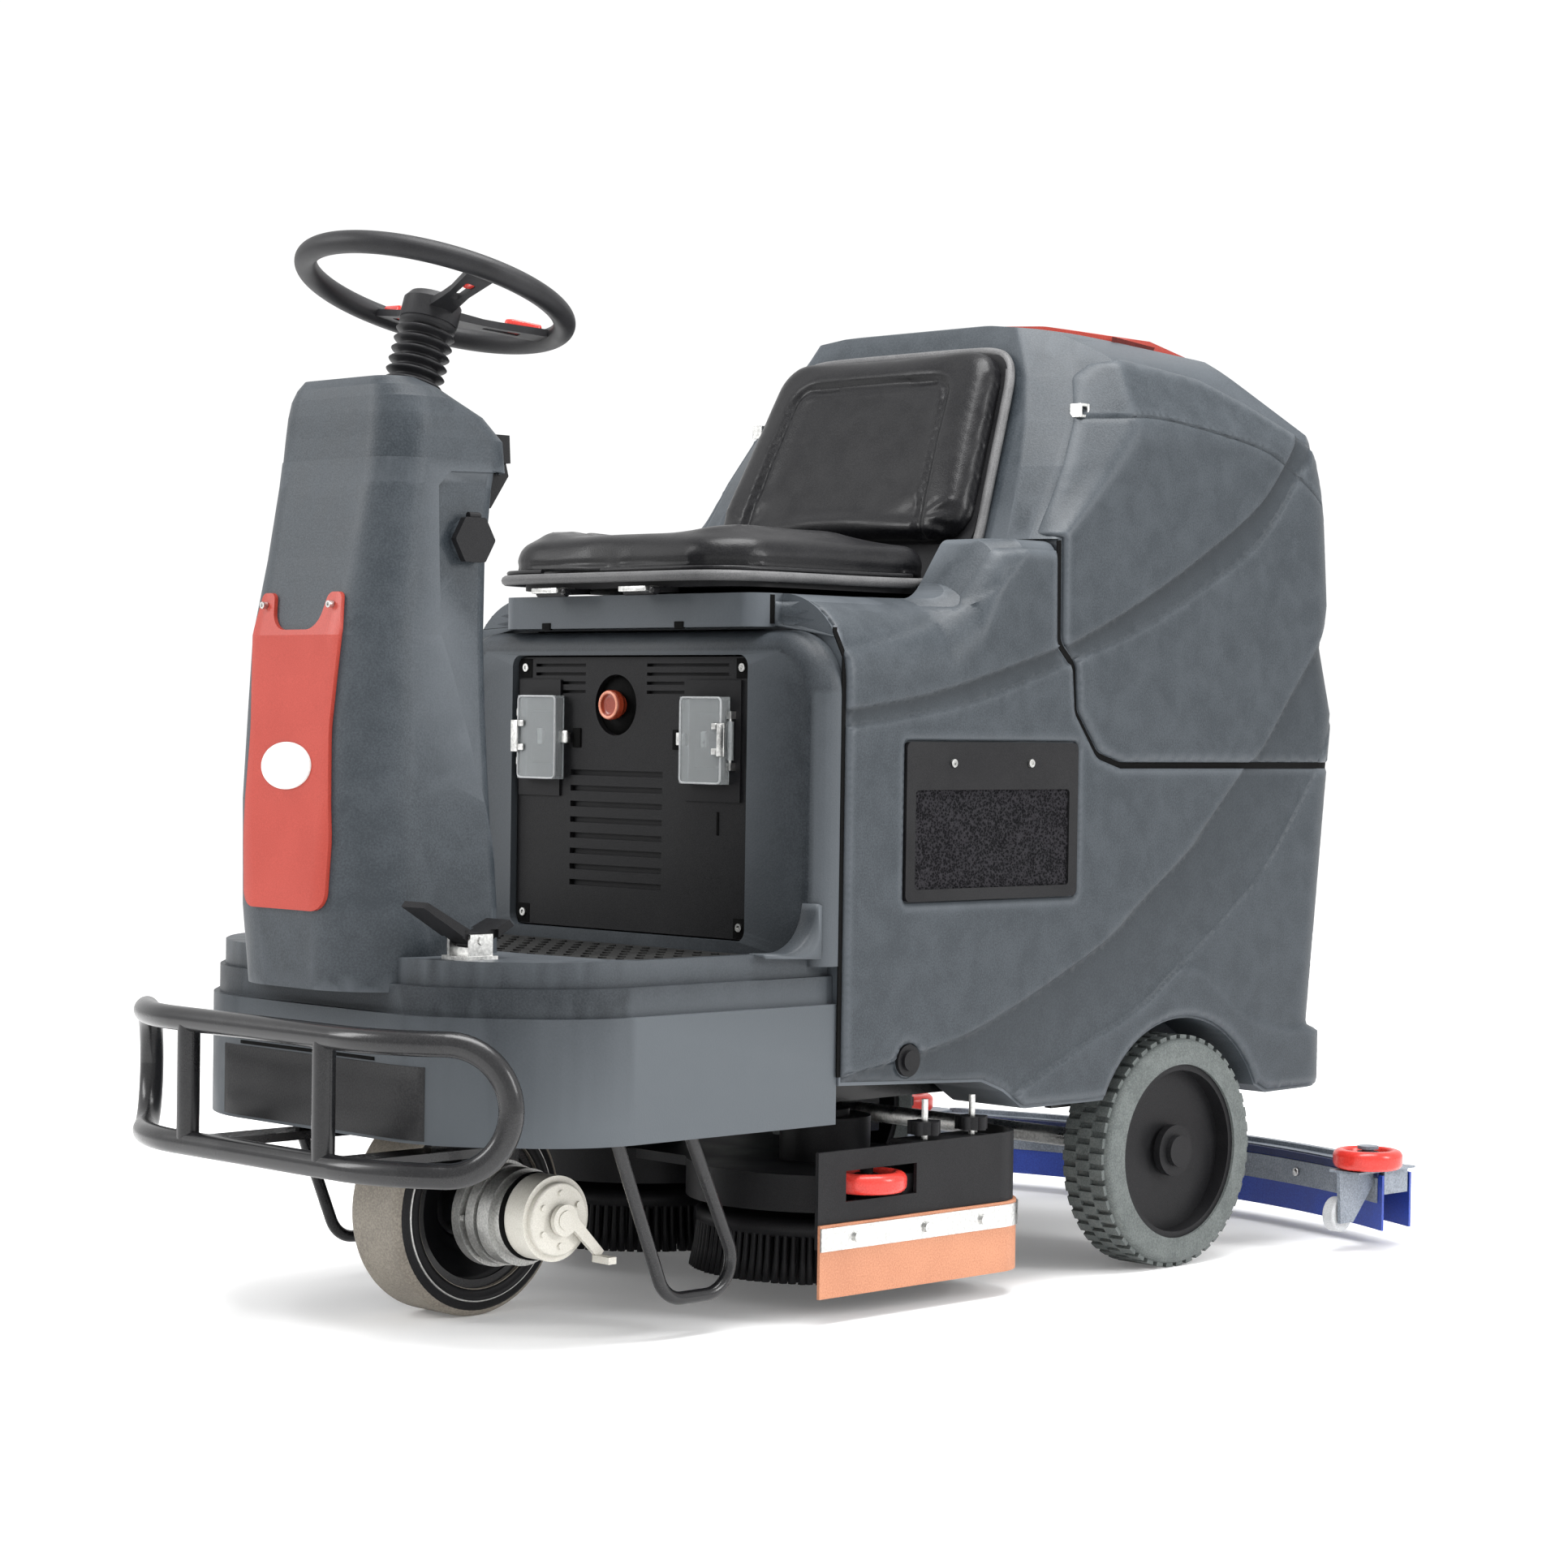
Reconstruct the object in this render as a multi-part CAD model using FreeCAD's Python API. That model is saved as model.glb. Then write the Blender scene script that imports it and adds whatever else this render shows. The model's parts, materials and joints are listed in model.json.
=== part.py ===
"""Ride-on floor scrubber-dryer: chassis, body mouldings, drive, brush deck, squeegee, seat and tanks.

Millimetres, +Z up, front of the machine towards -Y, the machine's left towards +X. Lengths along
the machine are first laid out as stations, and put() shifts them so that the origin is under the
middle of the whole machine, on the floor.
"""
import FreeCAD, Part
import math
import os

V = FreeCAD.Vector
X, Y, Z = V(1, 0, 0), V(0, 1, 0), V(0, 0, 1)
os.makedirs("parts", exist_ok=True)

# Driving dimensions: stations along the machine
AXLE_Y = 420.0
DRIVE_Y = -502.0
SEAM_Y = -211.0
BASE_FRONT_Y = -714.0
DECK_Y = -57.0
BUMPER_FRONT_Y = -808.0
SQUEEGEE_CENTRE_Y = -110.0
SQUEEGEE_OUTER_R = 1016.0
SHIFT_Y = -(BUMPER_FRONT_Y + SQUEEGEE_CENTRE_Y + SQUEEGEE_OUTER_R) / 2

# Driving dimensions: body
HALF_WIDTH = 338.0
WALL = 6.0
BODY_BOTTOM_Z = 230.0
FLOOR_Z = 418.0
RIM_Z = 431.0
SEAT_LEDGE_Z = 848.0
SPLIT_Z = 646.0
TANK_TOP_Z = 1200.0
PANEL_Y = -237.0
PANEL_HALF = 211.0
BAY_HALF = 205.0

# Driving dimensions: wheels and drive
REAR_R, REAR_W, REAR_OUT = 150.0, 78.0, 341.0
ARCH_R = 172.0
DRIVE_R, DRIVE_W = 125.0, 90.0
RAIL_IN, RAIL_OUT, RAIL_Z0, RAIL_Z1 = 168.0, 208.0, 236.0, 292.0
BOLT_R = 5.0
PIN_R = 8.0
FIT = 0.05

# Driving dimensions: steering
WHEEL_AT = V(0, -551, 1185)
TILT = math.radians(16.5)
WHEEL_R, RIM_R = 153.0, 13.0
AXIS = V(0, math.sin(TILT), math.cos(TILT))
SHAFT_Y = -606.0
BIG_SPROCKET_R, SMALL_SPROCKET_R = 66.0, 22.0

# Driving dimensions: brush deck and squeegee
BRUSH_X, BRUSH_R = 166.0, 162.0
BRISTLE_Z = 31.0
SKIRT_X = 344.0
SQUEEGEE_INNER_R = 952.0
SQUEEGEE_HALF = 425.0
LIFT_AT = V(0, 640, 176)
SWING_Y = 712.0
END_ROLLER_AT = V(425, 712, 112.5)
CASTER_AT = V(384, 690, 50)


# Basic shapes ---------------------------------------------------------------------------------
def block(x0, x1, y0, y1, z0, z1):
    return Part.makeBox(x1 - x0, y1 - y0, z1 - z0, V(x0, y0, z0))


def rod(start, direction, radius, length):
    return Part.makeCylinder(radius, length, start, direction)


def ring(start, direction, outer, inner, length):
    return rod(start, direction, outer, length).cut(rod(start, direction, inner, length))


def fuse(shapes):
    first = shapes[0]
    return first.multiFuse(shapes[1:]).removeSplitter() if len(shapes) > 1 else first


def group(shapes):
    return Part.makeCompound(shapes)


def flip(shape):
    """The same shape on the other side of the machine."""
    return shape.mirror(V(0, 0, 0), X)


def both(shape):
    return [shape, flip(shape)]


def turned(shape, degrees, at, axis):
    out = shape.copy()
    out.rotate(at, axis, degrees)
    return out


def path_edges(points, closed):
    """Lines with a tangent arc at each corner. points: (Vector, bend radius)."""
    n = len(points)
    arcs = {}
    for i in range(n):
        at, bend = points[i]
        if not bend or (not closed and i in (0, n - 1)):
            continue
        back = (points[i - 1][0] - at).normalize()
        ahead = (points[(i + 1) % n][0] - at).normalize()
        half = back.getAngle(ahead) / 2
        run = bend / math.tan(half)
        middle = (back + ahead).normalize()
        near = at + middle * (bend / math.sin(half) - bend)
        arcs[i] = (at + back * run, near, at + ahead * run)
    edges = []
    for i in range(n if closed else n - 1):
        j = (i + 1) % n
        start = arcs[i][2] if i in arcs else points[i][0]
        end = arcs[j][0] if j in arcs else points[j][0]
        if start.distanceToPoint(end) > 0.01:
            edges.append(Part.LineSegment(start, end).toShape())
        if j in arcs:
            edges.append(Part.Arc(*arcs[j]).toShape())
    return edges


def face_of(points, plane):
    """A flat face from (a, b, corner radius) points in the plane xy, yz or xz."""
    spot = {"xy": lambda a, b: V(a, b, 0), "yz": lambda a, b: V(0, a, b), "xz": lambda a, b: V(a, 0, b)}
    edges = path_edges([(spot[plane](p[0], p[1]), p[2] if len(p) > 2 else 0) for p in points], True)
    return Part.Face(Part.Wire(Part.__sortEdges__(edges)))


def slab(points, plane, low, high):
    """That face, thickened from low to high along the plane's normal."""
    normal = {"xy": Z, "yz": X, "xz": Y}[plane]
    face = face_of(points, plane)
    face.translate(normal * low)
    return face.extrude(normal * (high - low))


def bent_bar(points, radius, closed=False):
    """A round bar along a path, made of straight runs and tangent bends."""
    pieces = []
    for edge in path_edges(points, closed):
        start = edge.valueAt(edge.FirstParameter)
        ahead = edge.tangentAt(edge.FirstParameter)
        disc = Part.Face(Part.Wire(Part.makeCircle(radius, start, ahead)))
        if isinstance(edge.Curve, Part.Line):
            pieces.append(disc.extrude(edge.valueAt(edge.LastParameter) - start))
        else:
            turn = math.degrees(edge.LastParameter - edge.FirstParameter)
            pieces.append(disc.revolve(edge.Curve.Center, edge.Curve.Axis, turn))
    return fuse(pieces)


def tier(z, y0, y1, half, front_r, rear_r):
    """A level rounded rectangle for a loft."""
    ring_points = [(V(-half, y0, z), front_r), (V(half, y0, z), front_r), (V(half, y1, z), rear_r),
                   (V(-half, y1, z), rear_r)]
    return Part.Wire(Part.__sortEdges__(path_edges(ring_points, True)))


def loft(tiers):
    return Part.makeLoft([tier(*t) for t in tiers], True, True)


def soften(shape, radius, wanted):
    """Fillets the edges whose middle point passes wanted()."""
    edges = [e for e in shape.Edges if wanted(e.valueAt((e.FirstParameter + e.LastParameter) / 2), e)]
    return shape.makeFillet(radius, edges)


def put(name, shape):
    out = shape.copy()
    out.translate(V(0, SHIFT_Y, 0))
    out.exportStep("parts/" + name + ".step")
    print(name, "valid" if out.isValid() else "NOT VALID", len(out.Solids), round(out.Volume / 1000, 1))


def screw(at, direction, head_r=BOLT_R, head=3.0):
    body = rod(at, direction, head_r, head)
    socket = rod(at + direction * (head - 1.5), direction, head_r * 0.5, 1.6)
    return body.cut(socket)


# Chassis --------------------------------------------------------------------------------------
def chassis_frame():
    """Two box rails, cross members, the steering turntable plate and the squeegee lift bracket."""
    rails = []
    for s in (-1, 1):
        x0, x1 = sorted((s * RAIL_IN, s * RAIL_OUT))
        rail = block(x0, x1, -690, 690, RAIL_Z0, RAIL_Z1)
        rails.append(rail.cut(block(x0 + 3, x1 - 3, -691, 691, RAIL_Z0 + 3, RAIL_Z1 - 3)))
        rails.append(block(x0, x1, -650, -400, RAIL_Z1, 324))
    cross = [block(-RAIL_IN, RAIL_IN, y - 20, y + 20, RAIL_Z0 + 6, RAIL_Z1 - 6) for y in (-670, 130, 660)]
    plate = block(-RAIL_OUT, RAIL_OUT, -650, -400, 324, 332).cut(rod(V(0, DRIVE_Y, 320), Z, 24, 20))
    plate = plate.cut(rod(V(0, SHAFT_Y, 320), Z, 12 + 2, 20))
    ears = []
    for x in (-62, 50):
        ear = block(x, x + 12, LIFT_AT.y - 22, LIFT_AT.y + 22, 156, RAIL_Z0 + 8)
        ears.append(ear.cut(rod(V(x - 1, LIFT_AT.y, LIFT_AT.z), X, 8 + FIT, 14)))
    ears.append(block(-70, 70, LIFT_AT.y - 22, LIFT_AT.y + 40, RAIL_Z0 + 0, RAIL_Z0 + 8))
    hangers = []
    for s in (-1, 1):
        x0, x1 = sorted((s * RAIL_IN, s * 314.0))
        hangers.append(block(x0, x1, -536, -400, 230, RAIL_Z0))
        x0, x1 = sorted((s * RAIL_IN, s * 246.0))
        hangers.append(block(x0, x1, AXLE_Y - 45, AXLE_Y + 45, 200, RAIL_Z0))
        x0, x1 = sorted((s * 232.0, s * 244.0))
        plate_y = block(x0, x1, AXLE_Y - 38, AXLE_Y + 38, 120, 200)
        hangers.append(plate_y.cut(rod(V(x0 - 1, AXLE_Y, REAR_R), X, 12.6, 14)))
    return fuse(rails + cross + [plate] + ears + hangers)


def bumper_frame():
    """A closed tubular loop with U-bent ends, two posts and two mounting bars."""
    tube_r = 14.0
    y = BUMPER_FRONT_Y + tube_r
    low, high, u_bend, side_bend = 208.0, 349.0, 70.5, 198.0
    reach, back = 332.2, 91.8
    half = [(V(222.8, y, 0), side_bend), (V(reach, y + back, 0), u_bend)]
    top = [(V(-p.x, p.y, high), r) for p, r in reversed(half)] + [(V(p.x, p.y, high), r) for p, r in half]
    bottom = [(V(p.x, p.y, low), r) for p, r in reversed(top)]
    loop = bent_bar(top + bottom, tube_r, closed=True)
    posts = [rod(V(x, y, low), Z, tube_r - 1, high - low) for x in (-126, 126)]
    bars = [block(x - 22, x + 22, y + 4, -560, low - 5, low + 5) for x in (-126, 126)]
    webs = [block(x - 4, x + 4, -640, -560, low, RAIL_Z0 - 4) for x in (-126, 126)]
    feet = [block(min(x * 0.9, x * 1.5), max(x * 0.9, x * 1.5), -640, -560, 229, RAIL_Z0) for x in (-126, 126)]
    return fuse([loop] + posts + bars + webs + feet)


def deck_guards():
    """A bent bar loop each side that keeps feet and kerbs off the drive wheel and the brushes."""
    guards = []
    for x in (-300, 300):
        path = [(V(x, -522, 230), 0), (V(x, -446, 46), 38), (V(x, -322, 46), 38), (V(x, -411, 230), 0)]
        guards.append(bent_bar(path, 7.5).cut(block(-400, 400, -600, -300, 230, 260)))
    return group(guards)


def rear_axle():
    return rod(V(-REAR_OUT + 6, AXLE_Y, REAR_R), X, 12.5, 2 * (REAR_OUT - 6))


# Body mouldings -------------------------------------------------------------------------------
def base_outline(inset):
    h = HALF_WIDTH - 3 - inset
    front = BASE_FRONT_Y + inset
    return [(h, SEAM_Y - 1, 0), (h, -590, 150), (205, front, 170), (-205, front, 170), (-h, -590, 150),
            (-h, SEAM_Y - 1, 0)]


def front_body():
    """The stepped front base with its footwell, and the arch around the battery door."""
    base = fuse([slab(base_outline(0), "xy", BODY_BOTTOM_Z, 370), slab(base_outline(9), "xy", 370, 402),
                 slab(base_outline(17), "xy", 402, RIM_Z)])
    base = base.cut(slab(base_outline(WALL), "xy", BODY_BOTTOM_Z - 1, 364))
    base = base.cut(slab(base_outline(17 + WALL), "xy", 363, FLOOR_Z - WALL))
    well = [(305, SEAM_Y, 0), (305, -520, 40), (160, -540, 30), (-160, -540, 30), (-305, -520, 40),
            (-305, SEAM_Y, 0)]
    base = base.cut(slab(well, "xy", FLOOR_Z, RIM_Z + 1))
    base = base.cut(rod(V(0, SHAFT_Y, 350), Z, 40, 100))
    h = HALF_WIDTH
    arch = slab([(h, FLOOR_Z - 4, 0), (h, 804, 75), (-h, 804, 75), (-h, FLOOR_Z - 4, 0)], "xz", -246, SEAM_Y - 1)
    arch = soften(arch, 26, lambda m, e: abs(m.y + 246) < 1 and m.z > FLOOR_Z and (abs(m.x) > 200 or m.z > 790))
    door = slab([(PANEL_HALF + 2, 436, 14), (PANEL_HALF + 2, 775, 14), (-PANEL_HALF - 2, 775, 14),
                 (-PANEL_HALF - 2, 436, 14)], "xz", -260, -200)
    return fuse([base, arch.cut(door)]).cut(loft(COLUMN))


# station, top and corner radius of the rear body's upright sections
SHOULDER = [(-300, 848, 105), (-90, 848, 105), (-30, 849, 98), (20, 868, 80), (60, 925, 60), (100, 925, 24),
            (800, 925, 24)]


def arched(y, top, radius):
    """An upright section across the machine with two rounded upper corners."""
    h = HALF_WIDTH
    points = [(V(h, y, 190), 0), (V(h, y, top), radius), (V(-h, y, top), radius), (V(-h, y, 190), 0)]
    return Part.Wire(Part.__sortEdges__(path_edges(points, True)))


def solution_tank():
    """The rear body: water walls, battery bay, seat ledge, wheel arches and the frame tunnel."""
    h = HALF_WIDTH
    side = [(SEAM_Y, 275, 0), (SEAM_Y, SEAT_LEDGE_Z, 0), (5, SEAT_LEDGE_Z, 40), (60, 924, 20), (160, 924, 4),
            (162, 796, 22), (191, 770, 20), (197, 712, 20), (240, 658, 24), (285, SPLIT_Z, 10),
            (760, SPLIT_Z, 0), (722, 300, 0), (745, 290, 0), (745, 216, 12), (600, 214, 0), (560, 232, 0),
            (250, 226, 0), (113, 226, 20), (75, 250, 30), (36, 264, 0)]
    body = slab(side, "yz", -h, h)
    sweep = Part.makeLoft([arched(*t) for t in SHOULDER], True, True)
    plan = loft([(z, -300, y1, h, 5, 60) for z, y1 in ((190, 746), (289, 746), (300, 722), (SPLIT_Z, 760), (1000, 760))])
    body = body.common(sweep).common(plan)
    collar = slab([(235, SEAM_Y + 5, 0), (235, -252, 30), (-235, -252, 30), (-235, SEAM_Y + 5, 0)], "xy",
                  808, SEAT_LEDGE_Z)
    body = body.fuse(collar)
    body = body.cut(block(-BAY_HALF, BAY_HALF, -300, 128, 318, 806))
    body = body.cut(block(-BAY_HALF, BAY_HALF, -205, 128, 800, 900))
    body = body.cut(block(-240, 240, -20, 200, SEAT_LEDGE_Z, 930))
    body = body.cut(block(-224, 224, -230, 800, 200, 300)).cut(block(-262, 262, 370, 470, 190, 240))
    body = body.cut(block(-h + 10, h - 10, 300, 712, 345, SPLIT_Z - 12))
    for s in (-1, 1):
        x0, x1 = sorted((s * 212.0, s * (h - 10.0)))
        body = body.cut(block(x0, x1, -200, 150, 290, 700))
        x0, x1 = sorted((s * 250.0, s * (h + 10.0)))
        body = body.cut(rod(V(x0, AXLE_Y, REAR_R), X, ARCH_R, x1 - x0))
    return body


COLUMN = [(392, -750, -552, 140, 98, 20), (480, -756, -552, 138, 88, 20), (600, -752, -560, 135, 72, 20),
          (700, -747, -564, 131, 68, 20), (786, -743, -564, 126, 64, 20), (873, -723, -559, 121, 56, 20),
          (958, -707, -548, 118, 50, 20), (985, -703, -542, 117, 48, 20)]
HEAD = [(975, -704, -520, 117, 50, 40), (1010, -700, -524, 117, 50, 40), (1036, -698, -550, 115, 50, 44),
        (1054, -696, -586, 110, 48, 44), (1067, -692, -614, 101, 42, 30), (1077, -686, -636, 84, 26, 22)]
INSET = [(-550, 500), (-622, 745), (-638, 790), (-638, 955), (-620, 972), (-400, 979), (-400, 500)]


def shrunk(tiers, by, drop=0.0):
    return [(z - drop, y0 + by, y1 - by, half - by, r0 - by, r1 - by) for z, y0, y1, half, r0, r1 in tiers]


def column_shell():
    """The upright moulding, hollow, open below and behind where the rear cover closes it."""
    outer = fuse([loft(COLUMN), loft(HEAD)])
    foot = [(380,) + shrunk(COLUMN, WALL)[0][1:]]
    inner = fuse([loft(foot + shrunk(COLUMN, WALL)), loft(shrunk(HEAD, WALL, WALL))])
    shell = outer.cut(inner).cut(slab(INSET, "yz", -200, 200))
    shell = shell.cut(rod(WHEEL_AT - AXIS * 240, AXIS, 36.2, 260)).cut(dash_panel())
    return shell.cut(rod(V(55, -600, 1004), Y, 8.0 + FIT, 100))


def column_rear_cover():
    """The inset rear cover of the column with the charger socket boss."""
    outer = loft([(z, y0 + 8, y1, half - 4, r0, r1) for z, y0, y1, half, r0, r1 in COLUMN])
    inner = loft(shrunk(COLUMN, WALL + 4))
    cover = outer.cut(inner).common(slab(INSET, "yz", -200, 200)).common(block(-200, 200, -700, -500, 514, 974.5))
    boss = ring(V(100, SOCKET.y, SOCKET.z), X, 24, 16, 24)
    return fuse([cover.cut(rod(V(100, SOCKET.y, SOCKET.z), X, 24, 40)), boss]).cut(dash_panel())


SOCKET = V(0, -596, 896)


def front_fascia():
    """The coloured nose panel with its two horns and the notch between them."""
    outline = [(74, 480, 22), (79, 560, 200), (72, 680, 200), (80, 790, 60), (72, 834, 8), (50, 834, 10),
               (40, 792, 26), (-40, 792, 26), (-50, 834, 10), (-72, 834, 8), (-80, 790, 60), (-72, 680, 200),
               (-79, 560, 200), (-74, 480, 22)]
    panel = slab(outline, "xz", -780, -700)
    skin = loft([(z, y0 - 5, y1, half + 5, r0 + 5, r1) for z, y0, y1, half, r0, r1 in COLUMN])
    core = loft([(z, y0 - 0.2, y1, half + 0.2, r0, r1) for z, y0, y1, half, r0, r1 in COLUMN])
    return panel.common(skin).cut(core)


def dash_panel():
    """The black control panel under the column head, facing the driver."""
    panel = slab([(-545, 988), (-512, 988), (-514, 1020), (-540, 1020)], "yz", -92, 92)
    lip = slab([(-562, 930), (-534, 936), (-508, 974), (-512, 988), (-545, 988)], "yz", -84, 84)
    keys = [block(x - 11, x + 11, -515, -507, 996, 1010) for x in (-62, -32, 0)]
    return fuse([panel, lip] + keys).cut(rod(V(55, -550, 1004), Y, 8.0 + FIT, 60))


def key_switch():
    barrel = rod(V(55, -530, 1004), Y, 8.0, 20)
    return fuse([barrel, block(53.5, 56.5, -511, -490, 994, 1014)])


def socket_cap():
    """A hexagonal charger cap with its hinge eye."""
    hexagon = [(SOCKET.y + 29 * math.cos(math.radians(60 * k)), SOCKET.z + 29 * math.sin(math.radians(60 * k)), 4)
               for k in range(6)]
    cap = slab(hexagon, "yz", 124.6, 133)
    knuckle = rod(V(128.6, SOCKET.y - 8, SOCKET.z + 27), Y, 4, 16)
    return fuse([cap, knuckle])


def floor_mat():
    """The studded rubber footwell mat."""
    sheet = slab([(296, -256, 0), (296, -512, 36), (150, -532, 26), (-150, -532, 26), (-296, -512, 36),
                  (-296, -256, 0)], "xy", FLOOR_Z, FLOOR_Z + 5)
    studs = [rod(V(x, y, FLOOR_Z + 5), Z, 5, 2) for x in range(-270, 271, 30) for y in range(-500, -265, 30)]
    return fuse([sheet] + [s for s in studs])


BUTTON_AT = V(-28, PANEL_Y, 714)
WINDOW_Z0, WINDOW_Z1 = 621.0, 725.0


def battery_panel():
    """The louvred battery door with its stop-button recess."""
    p = PANEL_HALF
    panel = slab([(p, 438, 12), (p, 773, 12), (-p, 773, 12), (-p, 438, 12)], "xz", PANEL_Y, PANEL_Y + 12)
    slots = []
    for k in range(8):
        slots.append(block(-110, 58, PANEL_Y - 1, PANEL_Y + 6, 490 + 19.5 * k, 497 + 19.5 * k))
    for k in range(4):
        for x0, x1 in ((-178, -84), (28, 172)):
            slots.append(block(x0, x1, PANEL_Y - 1, PANEL_Y + 6, 728 + 11 * k, 732 + 11 * k))
    slots.append(rod(BUTTON_AT - Y, Y, 37.5, 9))
    panel = panel.cut(group(slots)).cut(rod(BUTTON_AT - Y, Y, 13.3, 20))
    pads = [block(x0, x1, PANEL_Y - 3, PANEL_Y, 600, 745) for x0, x1 in ((-206, -128), (98, 196))]
    return fuse([panel] + pads)


def stop_button():
    head = rod(BUTTON_AT - Y * 3, Y, 13.0, 14)
    return fuse([head, rod(BUTTON_AT - Y * 9, Y, 18, 6)])


def breaker_window(x0, x1):
    """A clear breaker cover, an open box five sides round, on a hinge barrel at its outer edge."""
    y1 = PANEL_Y - 3.5
    cover = block(x0, x1, y1 - 14, y1, WINDOW_Z0, WINDOW_Z1)
    cover = cover.cut(block(x0 + 3, x1 - 3, y1 - 11, y1 + 1, WINDOW_Z0 + 3, WINDOW_Z1 - 3))
    return cover


def window_left():
    cover = breaker_window(106, 178)
    barrel = ring(V(184, PANEL_Y - 8, 650), Z, 4.0, 2.0 + FIT, 46)
    arm = block(176, 181, PANEL_Y - 10, PANEL_Y - 6, 652, 694)
    return fuse([cover, arm.fuse(barrel)])


def window_right():
    return flip(window_left()).translated(V(-14, 0, 0))


def batteries():
    """Two rows of traction batteries in the bay."""
    cells = []
    for x in (-102, 102):
        for y in (-112, 44):
            case = block(x - 94, x + 94, y - 74, y + 74, 318, 640)
            posts = [rod(V(x + d, y, 640), Z, 9, 16) for d in (-60, 60)]
            cells.append(fuse([case] + posts))
    return group(cells)


def side_vents():
    """A framed intake grille with a foam pad behind two screws, and a round drain plug, on each side."""
    x0, x1 = HALF_WIDTH, HALF_WIDTH + 7
    frame = slab([(-110, 486, 8), (-110, 675, 8), (200, 675, 8), (200, 486, 8)], "yz", x0, x1)
    frame = frame.cut(slab([(-94, 500, 5), (-94, 618, 5), (184, 618, 5), (184, 500, 5)], "yz", x0 - 1, x1 + 1))
    foam = block(x0, x0 + 3, -94, 184, 500, 618)
    plug = fuse([rod(V(HALF_WIDTH, -97, 298), X, 19, 5), rod(V(HALF_WIDTH + 5, -97, 298), X, 12, 4)])
    return group(both(fuse([frame, foam])) + both(plug))


def bellows():
    """The ribbed rubber boot between the column and the steering wheel collar."""
    ribs = []
    start = WHEEL_AT - AXIS * 118
    count, pitch = 6, 12.5
    for k in range(count):
        ribs.append(Part.makeCone(26, 34, pitch / 2, start + AXIS * (k * pitch), AXIS))
        ribs.append(Part.makeCone(34, 26, pitch / 2, start + AXIS * ((k + 0.5) * pitch), AXIS))
    ribs.append(rod(start - AXIS * 16, AXIS, 36, 16))
    return fuse(ribs).cut(rod(start - AXIS * 17, AXIS, 18, 120))


def metal_fittings():
    """Bright hardware: door and fascia screws, window hinge lugs, tank clips."""
    small = [screw(V(x, PANEL_Y, z), -Y) for x in (-196, 196) for z in (452, 760)]
    small += [screw(V(x, -741, 820), -Y, 4, 6) for x in (-61, 61)]
    for s in (-1, 1):
        small += [screw(V(s * (HALF_WIDTH + 7), y, 650), X * s, 5) for y in (-30, 110)]
    for x in (184.0, -198.0):
        pin = rod(V(x, PANEL_Y - 8, 638), Z, 2.0, 70)
        for z in (638, 699):
            pin = pin.fuse(block(x - 4, x + 4, PANEL_Y - 11, PANEL_Y - 3, z, z + 9))
        small.append(pin)
    return group(small + [pedal_bracket()])


def pedal_bracket():
    foot = block(170, 214, -668, -624, RIM_Z, RIM_Z + 4)
    cheeks = [block(x, x + 4, -662, -630, RIM_Z + 2, 459) for x in (172, 208)]
    pin = rod(V(170, -646, 452), X, 5, 44)
    return fuse([foot, pin] + cheeks)


def pedal():
    """The two-way rocker pedal."""
    hub = ring(V(177, -646, 452), X, 9, 5 + FIT, 30)
    front = slab([(-650, 458), (-722, 496), (-727, 490), (-656, 448)], "yz", 172, 212)
    rear = slab([(-642, 458), (-606, 474), (-600, 467), (-636, 447)], "yz", 172, 212)
    plate = fuse([front, rear, slab([(-656, 446), (-636, 446), (-640, 460), (-652, 460)], "yz", 177, 207)])
    plate = plate.cut(rod(V(160, -646, 452), X, 5 + FIT, 80))
    plate = plate.cut(block(160, 177, -670, -622, 430, 464)).cut(block(207, 240, -670, -622, 430, 464))
    return fuse([hub, plate])


# Seat -----------------------------------------------------------------------------------------
SEAT_HINGE = V(0, -270, 846)
BACK_LEAN = 24.0


def seat_pan():
    """The moulded seat tray: base, rear upstand and the two hinge leaves."""
    base = slab([(208, -262, 60), (214, 110, 30), (-214, 110, 30), (-208, -262, 60)], "xy", 856, 868)
    back = slab([(84, 858), (112, 858), (141, 924), (183, 1021), (209, 1080), (233, 1140), (243, 1170), (231, 1170),
                 (222, 1140), (198, 1080), (172, 1021), (128, 930)], "yz", -240, 240)
    back = back.common(slab([(212, 850), (226, 935, 40), (194, 1172, 40), (-194, 1172, 40), (-226, 935, 40),
                             (-212, 850)], "xz", 0, 300))
    leaves = [block(x - 26, x + 26, -278, -240, 850, 856) for x in (-100, 60)]
    knuckles = [rod(V(x - 26, SEAT_HINGE.y - 9, 851), X, 5, 52) for x in (-100, 60)]
    return fuse([base, back] + leaves + knuckles)


def seat_cushion():
    pad = slab([(214, -288, 70), (222, 96, 40), (-222, 96, 40), (-214, -288, 70)], "xy", 868, 930)
    return soften(pad, 22, lambda m, e: m.z > 929).cut(seat_pan())


def seat_backrest():
    """The tapered back cushion, leaning with the front of the tank."""
    pad = slab([(-228, 932, 40), (228, 932, 40), (190, 1212, 45), (-190, 1212, 45)], "xz", 92, 136)
    pad = soften(pad, 18, lambda m, e: abs(m.y - 92) < 1)
    pad = turned(pad, -BACK_LEAN, V(0, 92, 932), X)
    behind = slab([(84, 858), (400, 858), (400, 1400), (252, 1240), (233, 1190), (229, 1170), (222, 1140), (198, 1080),
                   (172, 1021), (128, 930)], "yz", -300, 300)
    return pad.cut(behind)


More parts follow.
